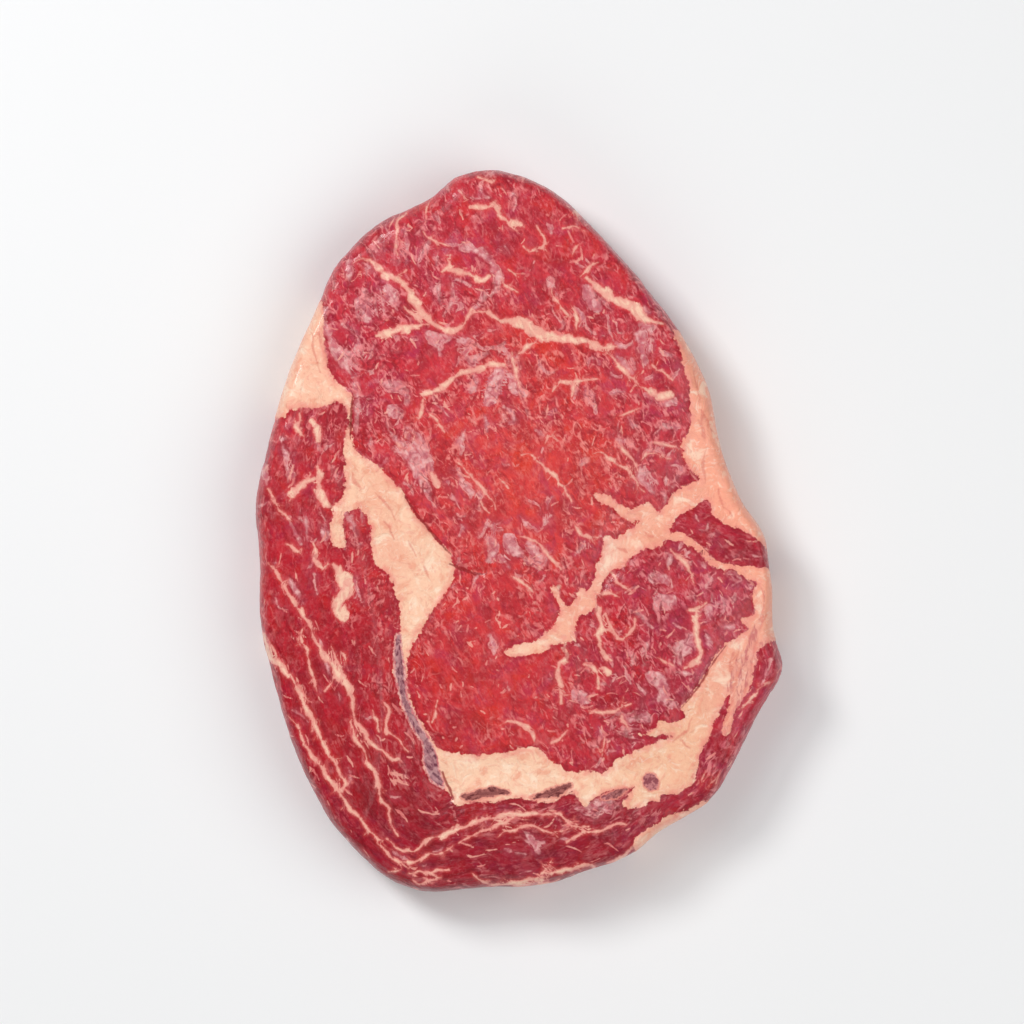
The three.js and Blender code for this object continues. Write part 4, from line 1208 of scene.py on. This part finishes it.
def relief_tree():
    """Sinks the cut face between lumps, bundles of fibre and ribbons, in dark gaps, and beside the fat."""
    tree = bpy.data.node_groups.new("cut face relief", "GeometryNodeTree")
    face = tree.interface
    face.new_socket("Geometry", in_out="INPUT", socket_type="NodeSocketGeometry")
    for name, value in RELIEF.items():
        face.new_socket(name, in_out="INPUT", socket_type="NodeSocketFloat").default_value = value
    face.new_socket("Finish", in_out="INPUT", socket_type="NodeSocketMaterial")
    face.new_socket("Geometry", in_out="OUTPUT", socket_type="NodeSocketGeometry")
    nodes = Nodes(tree)
    given = nodes.node("NodeGroupInput")
    ask = {name: nodes.value(given, name) for name in RELIEF}

    def mask(name):
        return nodes.value(nodes.node("GeometryNodeInputNamedAttribute", {"data_type": "FLOAT"}, Name=name))

    place = nodes.scaled(nodes.value(nodes.node("GeometryNodeInputPosition")), 1 / MM)
    normal = nodes.value(nodes.node("GeometryNodeInputNormal"))
    lean = mask("lean").rises(-0.4, 0.8)
    # where the ribbons of painted reflection lie; the lean beside them is sunk a little
    ribbon = mask("ribbon_beyond").rises(0.1, -0.4)
    lumps = nodes.noise(place, ask["Lump size"], detail=1.0).rises(0.8, 0.2)
    bundles = nodes.noise(place, ask["Bundle size"], warp=0.6).rises(0.75, 0.25)
    creases = mask("crevice_beyond").rises(0.9, -0.2)
    step = mask("lean").rises(0.9, 0.0) * lean
    sunk = lumps * ask["Lump depth"] + bundles * ask["Bundle depth"] * (0.35 + lean * 0.65)
    sunk = sunk + (1 - ribbon) * lean * ask["Curl depth"] + creases * ask["Crease depth"]
    sunk = (sunk + step * ask["Step depth"]) * mask("free")

    moved = nodes.node(
        "GeometryNodeSetPosition",
        Geometry=nodes.value(given, "Geometry"), Offset=nodes.scaled(normal, sunk * -MM),
    )
    real = nodes.node("GeometryNodeRealizeInstances", Geometry=nodes.value(moved))
    finish = nodes.node(
        "GeometryNodeSetMaterial", Geometry=nodes.value(real), Material=nodes.value(given, "Finish")
    )
    nodes.node("NodeGroupOutput", Geometry=nodes.value(finish))
    return tree


class CutFace(Nodes):
    """The nodes of the cut face. Each method gives a colour, or lays one kind of mark over one."""

    def __init__(self, tree):
        super().__init__(tree)
        self.place = self.scaled(self.value(self.node("ShaderNodeTexCoord"), "Object"), 1 / MM)
        self.tall = self.vector("MULTIPLY", self.place, (1, 1, 0.35))
        self.grain = self.mask("grain", "Vector")
        self.along = self.vector("MULTIPLY", self.grain, (0.45, 1, 1))
        self.ragged = self.noise(self.tall, 1.1, detail=3.0, rough=0.65)
        self.loose = self.ragged - 0.5
        self.fibre = self.noise(self.along, 0.8, detail=2.5, rough=0.62, warp=0.4)
        self.bundle = self.noise(self.along, 2.3, detail=2.5, rough=0.55, warp=0.9)
        self.shards = self.noise(self.tall, 3.4, detail=2.0, rough=0.45, warp=0.7)
        self.mottle = self.noise(self.tall, 1.7, detail=0.8, rough=0.5, warp=0.5)
        self.lean_tone = self.mask("lean_tone", "Color")
        # a deeper red of the lean: its deep patches, and also the painted shade beside the ribbons and
        # wrinkles
        self.deep = self.lean_times(0.55, 0.32, 0.45)
        self.pale = self.mix(0.3, self.lean_times(1.35, 4.2, 3.4), colour(240, 150, 142))
        self.rough_place = 1 - self.mask("calm") * 0.75
        self.edge = (
            self.mask("lean") + self.loose * 1.8 + (self.bundle - 0.5) * 1.6 + (self.shards - 0.5) * 1.4
        )

    def mask(self, name, output="Fac"):
        return self.value(self.node("ShaderNodeAttribute", {"attribute_name": name}), output)

    def within(self, name):
        """How far in a point lies from the edge of the nearest stroke of a kind."""
        return self.mask(name + "_half") - abs(self.mask(name + "_side"))

    def lean_times(self, red, green, blue):
        return self.mix(1.0, self.lean_tone, (red, green, blue), "MULTIPLY")

    def lean(self):
        """Deep and bright bundles of fibre, with specks of fat between them."""
        broad = self.noise(self.tall, 10.0, detail=2.0)
        patches = self.noise(self.tall, 5.5, detail=2.0, warp=0.6)
        meat = self.mix(patches.rises(0.53, 0.66) * 0.7, self.lean_tone, self.lean_times(1.1, 1.05, 0.45))
        meat = self.mix(patches.rises(0.47, 0.34) * 0.7, meat, self.lean_times(0.84, 1.1, 1.9))
        meat = self.mix(broad.rises(0.54, 0.34) * 0.5, meat, self.deep)
        meat = self.mix(self.bundle.rises(0.46, 0.32) * 0.5, meat, self.deep)
        meat = self.mix(self.bundle.rises(0.5, 0.66) * 0.7, meat, self.lean_times(1.22, 1.5, 1.2))
        meat = self.mix(self.fibre.rises(0.44, 0.32) * 0.3, meat, self.deep)

        crowd = self.noise(self.tall, 6.0, detail=1.5, rough=0.5, warp=0.4).rises(0.42, 0.6)
        crowd = crowd * self.rough_place
        salt = self.noise(self.tall, 1.0, detail=2.5, rough=0.6, warp=0.3).rises(0.5, 0.7)
        meat = self.mix(salt * (crowd * 0.35 + 0.12), meat, self.pale)
        specks = self.noise(self.along, 0.62, detail=2.0, rough=0.6, warp=0.5).rises(0.58, 0.68)
        meat = self.mix(specks * (crowd * 0.5 + 0.15), meat, self.pale)
        spread = self.warped(self.vector("MULTIPLY", self.grain, (0.5, 1, 1)), 0.9, 1.8)
        return self.mix(self.dots(spread, 1.3, 0.5, 0.14) * (crowd * 0.5 + 0.2), meat, self.pale)

    def painted_sheen_marks(self, meat):
        """Painted reflections of the light on the wet cut face: streaked lilac ribbons with a painted
        highlight and painted shade along their edges, in a haze of painted sheen, and how much of them covers
        each point.
        """
        strand = self.vector("MULTIPLY", self.mask("strand", "Vector"), (1, 0.45, 1))
        streak = self.noise(strand, 0.8, detail=2.0, rough=0.5, warp=0.4)
        inward = self.within("ribbon") + self.loose * 0.8 + (self.shards - 0.5) * 1.8
        beside = self.mask("ribbon_beyond")
        close = beside.rises(0.8, 0.2)
        painted_sheen_cover = inward.rises(-0.2, 0.8) * close
        lilac = self.mix(streak.rises(0.36, 0.64), colour(204, 112, 120), colour(232, 166, 166))
        lilac = self.mix(self.mottle.rises(0.52, 0.66) * 0.7, lilac, colour(244, 192, 186))
        lilac = self.mix(self.mottle.rises(0.46, 0.34) * 0.55, lilac, colour(176, 72, 88))
        # painted sheen: a mauve haze round the ribbons
        meat = self.mix(beside.rises(1.8, 0.1) * 0.25, meat, colour(192, 84, 98))
        # painted shade just outside the ribbons' edges
        shaded = inward.rises(-0.8, -0.25) * inward.rises(0.25, -0.15) * close
        meat = self.mix(shaded * streak.rises(0.58, 0.44) * 0.5, meat, self.deep)
        # the ribbons' painted reflection
        meat = self.mix(painted_sheen_cover * (0.68 + self.ragged.rises(0.4, 0.6) * 0.3), meat, lilac)
        # painted highlight just inside the ribbons' edges
        rim = inward.rises(0.0, 0.2) * inward.rises(0.5, 0.2) * close
        return self.mix(rim * self.bundle.rises(0.44, 0.58) * 0.5, meat, colour(240, 176, 168)), painted_sheen_cover

    def painted_wrinkle_light(self, meat):
        """Curled wrinkles, large and small, in painted light: a painted highlight line on each, and a painted
        shade line beside it.
        """
        patches = self.noise(self.tall, 7.0, detail=1.5, warp=0.5).rises(0.4, 0.54)
        wrinkled = (patches * 0.8 + 0.2) * self.rough_place
        painted_highlight_tone = self.mix(0.25, self.pale, colour(248, 180, 168))
        place = self.vector("MULTIPLY", self.grain, (0.62, 1, 1))
        for size, wide in ((4.2, 0.06), (2.4, 0.08)):
            bend = self.noise(place, size, detail=0.6, rough=0.5, warp=0.7) - 0.5
            # painted shade line beside each wrinkle
            dim = abs(bend - wide * 1.3).rises(wide, wide * 0.3) * wrinkled * self.ragged.rises(0.38, 0.54)
            meat = self.mix(dim * 0.6, meat, self.deep)
            # painted highlight line along each wrinkle
            lit = abs(bend).rises(wide, wide * 0.2) * wrinkled * self.shards.rises(0.42, 0.54)
            meat = self.mix(lit * self.fibre.rises(0.38, 0.54) * 0.75, meat, painted_highlight_tone)
        return meat

    def flecks(self, meat):
        """Flecks of fat, drawn a third wider than their strokes."""
        inward = self.within("fleck") + self.mask("fleck_half") * 0.3 + self.loose * 0.5
        fleck = inward.rises(-0.1, 0.14) * self.mask("fleck_beyond").rises(0.35, 0.1)
        tone = self.mix(self.bundle.rises(0.4, 0.6), colour(228, 122, 118), colour(244, 168, 152))
        return self.mix(fleck * 0.75, meat, tone)

    def veins(self, meat):
        """Veins of fat in a warmer halo, cream along the middle, and where the veins lie."""
        inward = self.within("vein")
        near = self.mask("vein_beyond")
        halo = (inward + self.loose * 0.8).rises(-0.9, 0.1) * near.rises(1.0, 0.2)
        meat = self.mix(halo * 0.3, meat, colour(226, 92, 82))
        vein = (inward + self.loose * 1.1 - 0.08).rises(-0.22, 0.2) * near.rises(0.6, 0.15)
        cream = (inward + self.loose * 1.2).rises(-0.05, 0.8) * (0.45 + self.bundle.rises(0.42, 0.58) * 0.55)
        tone = self.mix(cream, colour(234, 142, 132), colour(250, 206, 178))
        tone = self.mix(self.ragged.rises(0.56, 0.68) * 0.6, tone, colour(226, 132, 128))
        return self.mix(vein * 0.92, meat, tone), vein

    def fat(self, lumps, strands):
        """Lumpy creamy fat with threads and gristle in it, rosy beside the lean."""
        fat = self.mix(lumps.rises(0.52, 0.68) * 0.7, self.mask("fat_tone", "Color"), colour(238, 158, 130))
        fat = self.mix(lumps.rises(0.47, 0.32) * 0.6, fat, colour(255, 228, 202))
        fat = self.mix(strands.rises(0.55, 0.68) * 0.4, fat, colour(234, 146, 130))
        fat = self.mix(strands.rises(0.45, 0.33) * 0.38, fat, colour(255, 232, 212))
        thread = (self.within("thread") + self.loose * 0.8).rises(-0.3, 0.2)
        thread = thread * self.mask("thread_beyond").rises(0.6, 0.1)
        fat = self.mix(thread * 0.5, fat, colour(214, 104, 92))
        tough = (self.mask("gristle") + self.loose * 1.6).rises(0.6, -0.2)
        sinew = self.noise(
            self.vector("MULTIPLY", self.tall, (1, 0.28, 1)), 0.85, detail=2.0, rough=0.55, warp=0.5
        )
        tough_tone = self.mix(sinew.rises(0.4, 0.58), colour(196, 104, 106), colour(242, 182, 164))
        fat = self.mix(tough * (0.35 + sinew.rises(0.55, 0.4) * 0.4), fat, tough_tone)
        rosy = self.edge.rises(-1.9, -0.1) * (0.25 + self.shards.rises(0.4, 0.6) * 0.5)
        return self.mix(rosy, fat, colour(238, 142, 128))

    def joined(self, meat, fat):
        """The lean and the fat on either side of the lean's edge, with painted shade along the lean's side of
        it.
        """
        # painted shade: a dark red band along the lean's edge beside the fat
        dark = self.edge.rises(0.1, 0.4) * self.edge.rises(1.3, 0.5)
        meat = self.mix(dark * 0.45, meat, colour(160, 22, 38))
        return self.mix(self.edge.rises(-0.16, 0.16), fat, meat)

    def membrane(self, skin):
        """The grey membrane, with a rosy edge and a mottled core."""
        veil = self.mask("membrane") + self.loose * 1.3 + (self.shards - 0.5) * 0.7
        tone = self.mix(self.fibre.rises(0.4, 0.6), colour(208, 112, 116), colour(230, 170, 160))
        skin = self.mix(veil.rises(0.25, -0.1), skin, tone)
        core = self.mix(self.fibre.rises(0.36, 0.62), colour(112, 52, 68), colour(180, 122, 128))
        core = self.mix(self.mottle.rises(0.5, 0.64) * 0.6, core, colour(206, 154, 154))
        return self.mix(veil.rises(-0.2, -0.6), skin, core)

    def vessels(self, skin):
        vessel = self.mask("vessel") + self.loose * 1.4
        skin = self.mix(vessel.rises(0.5, 0.1) * 0.8, skin, colour(232, 140, 126))
        tone = self.mix(self.fibre.rises(0.4, 0.6), colour(104, 38, 40), colour(166, 94, 88))
        pale_tone = self.mix(self.ragged.rises(0.42, 0.56), colour(144, 68, 78), colour(206, 130, 130))
        tone = self.mix(self.mask("pale_vessel") * 0.85, tone, pale_tone)
        return self.mix(vessel.rises(0.1, -0.3), skin, tone)

    def crevices(self, skin):
        # painted shade: the gaps are painted dark red over their real sunk relief
        gap = (self.within("crevice") + self.loose * 0.5).rises(-0.2, 0.15)
        gap = gap * self.mask("crevice_beyond").rises(0.5, 0.1)
        return self.mix(gap * 0.85, skin, colour(146, 22, 26))


def raw_beef():
    """Wet raw beef: lean with fine marbling, and creamy fat."""
    material = bpy.data.materials.new("raw beef")
    material.use_nodes = True
    material.node_tree.nodes.clear()
    face = CutFace(material.node_tree)
    lumps = face.noise(face.tall, 4.2, detail=3.0, rough=0.6, warp=0.6)
    strands = face.noise(face.warped(face.tall, 8.0, 10.0), 1.6, detail=3.0, rough=0.65, warp=1.0)
    meat, painted_sheen_cover = face.painted_sheen_marks(face.lean())
    meat, vein = face.veins(face.flecks(face.painted_wrinkle_light(meat)))
    skin = face.joined(meat, face.fat(lumps, strands))
    skin = face.crevices(face.vessels(face.membrane(skin)))

    fatty = face.edge.rises(0.2, -0.2)
    gloss = 0.4 - painted_sheen_cover * 0.1 + face.loose * 0.2 + fatty * 0.08
    bent = face.noise(face.place, 4.4, detail=1.4, rough=0.5, warp=0.9)
    fibrous = (bent - 0.5) * 0.9 + (face.bundle - 0.5) * 0.6 + (face.fibre - 0.5) * 0.35
    lumpy = (lumps - 0.5) * 0.8 + (strands - 0.5) * 0.4
    height = fibrous * (1 - fatty) + lumpy * fatty + face.loose * 0.25 + vein * 0.08
    bump = face.node("ShaderNodeBump", Strength=0.8, Distance=MM, Height=height)
    shader = face.node(
        "ShaderNodeBsdfPrincipled", Base_Color=skin, Roughness=gloss, Normal=face.value(bump),
        Coat_Weight=0.3, Coat_Roughness=0.12, Specular_IOR_Level=0.2,
    )
    face.node("ShaderNodeOutputMaterial", Surface=face.value(shader))
    return material


def add_mask(mesh, name, values):
    """Keeps a mask at a mesh's points: a number, a tone or a vector for each."""
    if values.ndim == 1:
        kind, field = "FLOAT", "value"
    elif name.endswith("_tone"):
        kind, field = "FLOAT_COLOR", "color"
        values = np.column_stack([values, np.ones(len(values))])
    else:
        kind, field = "FLOAT_VECTOR", "vector"
    layer = mesh.attributes.new(name, kind, "POINT")
    layer.data.foreach_set(field, values.astype(np.float32).ravel())


def steak_mesh():
    """The closed skin as a mesh in metres, with its place in the bake and every mask of the anatomy."""
    skin = Skin()
    places = np.vstack(skin.places)
    depth = np.concatenate(skin.depths)
    triangles = np.vstack(skin.triangles)
    mesh = bpy.data.meshes.new("ribeye")
    mesh.vertices.add(len(places))
    mesh.vertices.foreach_set("co", (places * MM).astype(np.float32).ravel())
    mesh.loops.add(3 * len(triangles))
    mesh.loops.foreach_set("vertex_index", triangles.astype(np.int32).ravel())
    mesh.polygons.add(len(triangles))
    mesh.polygons.foreach_set("loop_start", np.arange(len(triangles), dtype=np.int32) * 3)
    mesh.update(calc_edges=True)
    mesh.validate()
    bake = mesh.uv_layers.new(name="OFBake")
    bake.data.foreach_set("uv", np.concatenate(skin.maps).astype(np.float32).ravel())
    for name, values in anatomy(*(places[:, :2] + skin.middle).T, depth).items():
        add_mask(mesh, name, values)
    add_mask(mesh, "free", np.clip((1 - depth) / FREE_DEPTH, 0, 1))
    mesh.shade_smooth()
    return mesh


def build_steak():
    """The steak, with its relief made real and its finish on."""
    steak = bpy.data.objects.new("ribeye", steak_mesh())
    bpy.context.scene.collection.objects.link(steak)
    finish = raw_beef()
    steak.data.materials.append(finish)
    modifier = steak.modifiers.new("cut face relief", "NODES")
    modifier.node_group = relief_tree()
    given = {**RELIEF, "Finish": finish}
    for item in modifier.node_group.interface.items_tree:
        if item.in_out == "INPUT" and item.name in given:
            modifier[item.identifier] = given[item.name]
    seen = steak.evaluated_get(bpy.context.evaluated_depsgraph_get())
    relieved = bpy.data.meshes.new_from_object(seen)
    steak.modifiers.clear()
    steak.data = relieved
    relieved.name = "ribeye"
    relieved.shade_smooth()
    return steak


steak = build_steak()
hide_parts("steak")
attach(steak, "root")


# Floor, light and camera


def area_light(name, at, size, power, tint=(1, 1, 1)):
    """A round light that shines at the middle of the surface the steak lies on."""
    data = bpy.data.lights.new(name, "AREA")
    data.shape, data.size, data.energy, data.color = "DISK", size, power, tint
    light = bpy.data.objects.new(name, data)
    light.location = at
    light.rotation_euler = (-Vector(at)).to_track_quat("-Z", "Y").to_euler()
    bpy.context.scene.collection.objects.link(light)


area_light("key", (-0.55, 0.45, 0.75), 0.3, 5.3)
area_light("overhead", (-0.28, 0.34, 0.95), 0.32, 1.1, (0.86, 0.93, 1))
area_light("glint", (-0.36, 0.4, 0.9), 0.16, 0.6)
area_light("fill", (0.6, -0.1, 0.8), 0.9, 4.3)
area_light("low", (-0.1, -0.8, 0.5), 0.7, 1.9)

bpy.ops.mesh.primitive_plane_add(size=4, location=(0, 0, 0))
floor = bpy.context.object
floor.name = "floor"
paper = bpy.data.materials.new("pale floor")
paper.use_nodes = True
paper_shader = paper.node_tree.nodes["Principled BSDF"]
paper_shader.inputs["Base Color"].default_value = (0.86, 0.86, 0.86, 1)
paper_shader.inputs["Roughness"].default_value = 0.9
floor.data.materials.append(paper)

world = bpy.data.worlds.new("studio")
world.use_nodes = True
background = world.node_tree.nodes["Background"]
background.inputs["Color"].default_value = (1, 1, 1, 1)
background.inputs["Strength"].default_value = 0.18
bpy.context.scene.world = world
bpy.context.scene.view_settings.view_transform = "Standard"

VIEW_WIDTH = 256.0  # of the plane of the cut face, before the muscles swell it
VIEW_MIDDLE = (-1.806, 4.787)
CAMERA_HEIGHT = 1200.0
SENSOR_WIDTH = 36
camera_data = bpy.data.cameras.new("camera")
camera_data.sensor_width = SENSOR_WIDTH
camera_data.lens = SENSOR_WIDTH * (CAMERA_HEIGHT - THICKNESS) / VIEW_WIDTH
camera = bpy.data.objects.new("camera", camera_data)
camera.location = Vector((*VIEW_MIDDLE, CAMERA_HEIGHT)) * MM
bpy.context.scene.collection.objects.link(camera)
bpy.context.scene.camera = camera
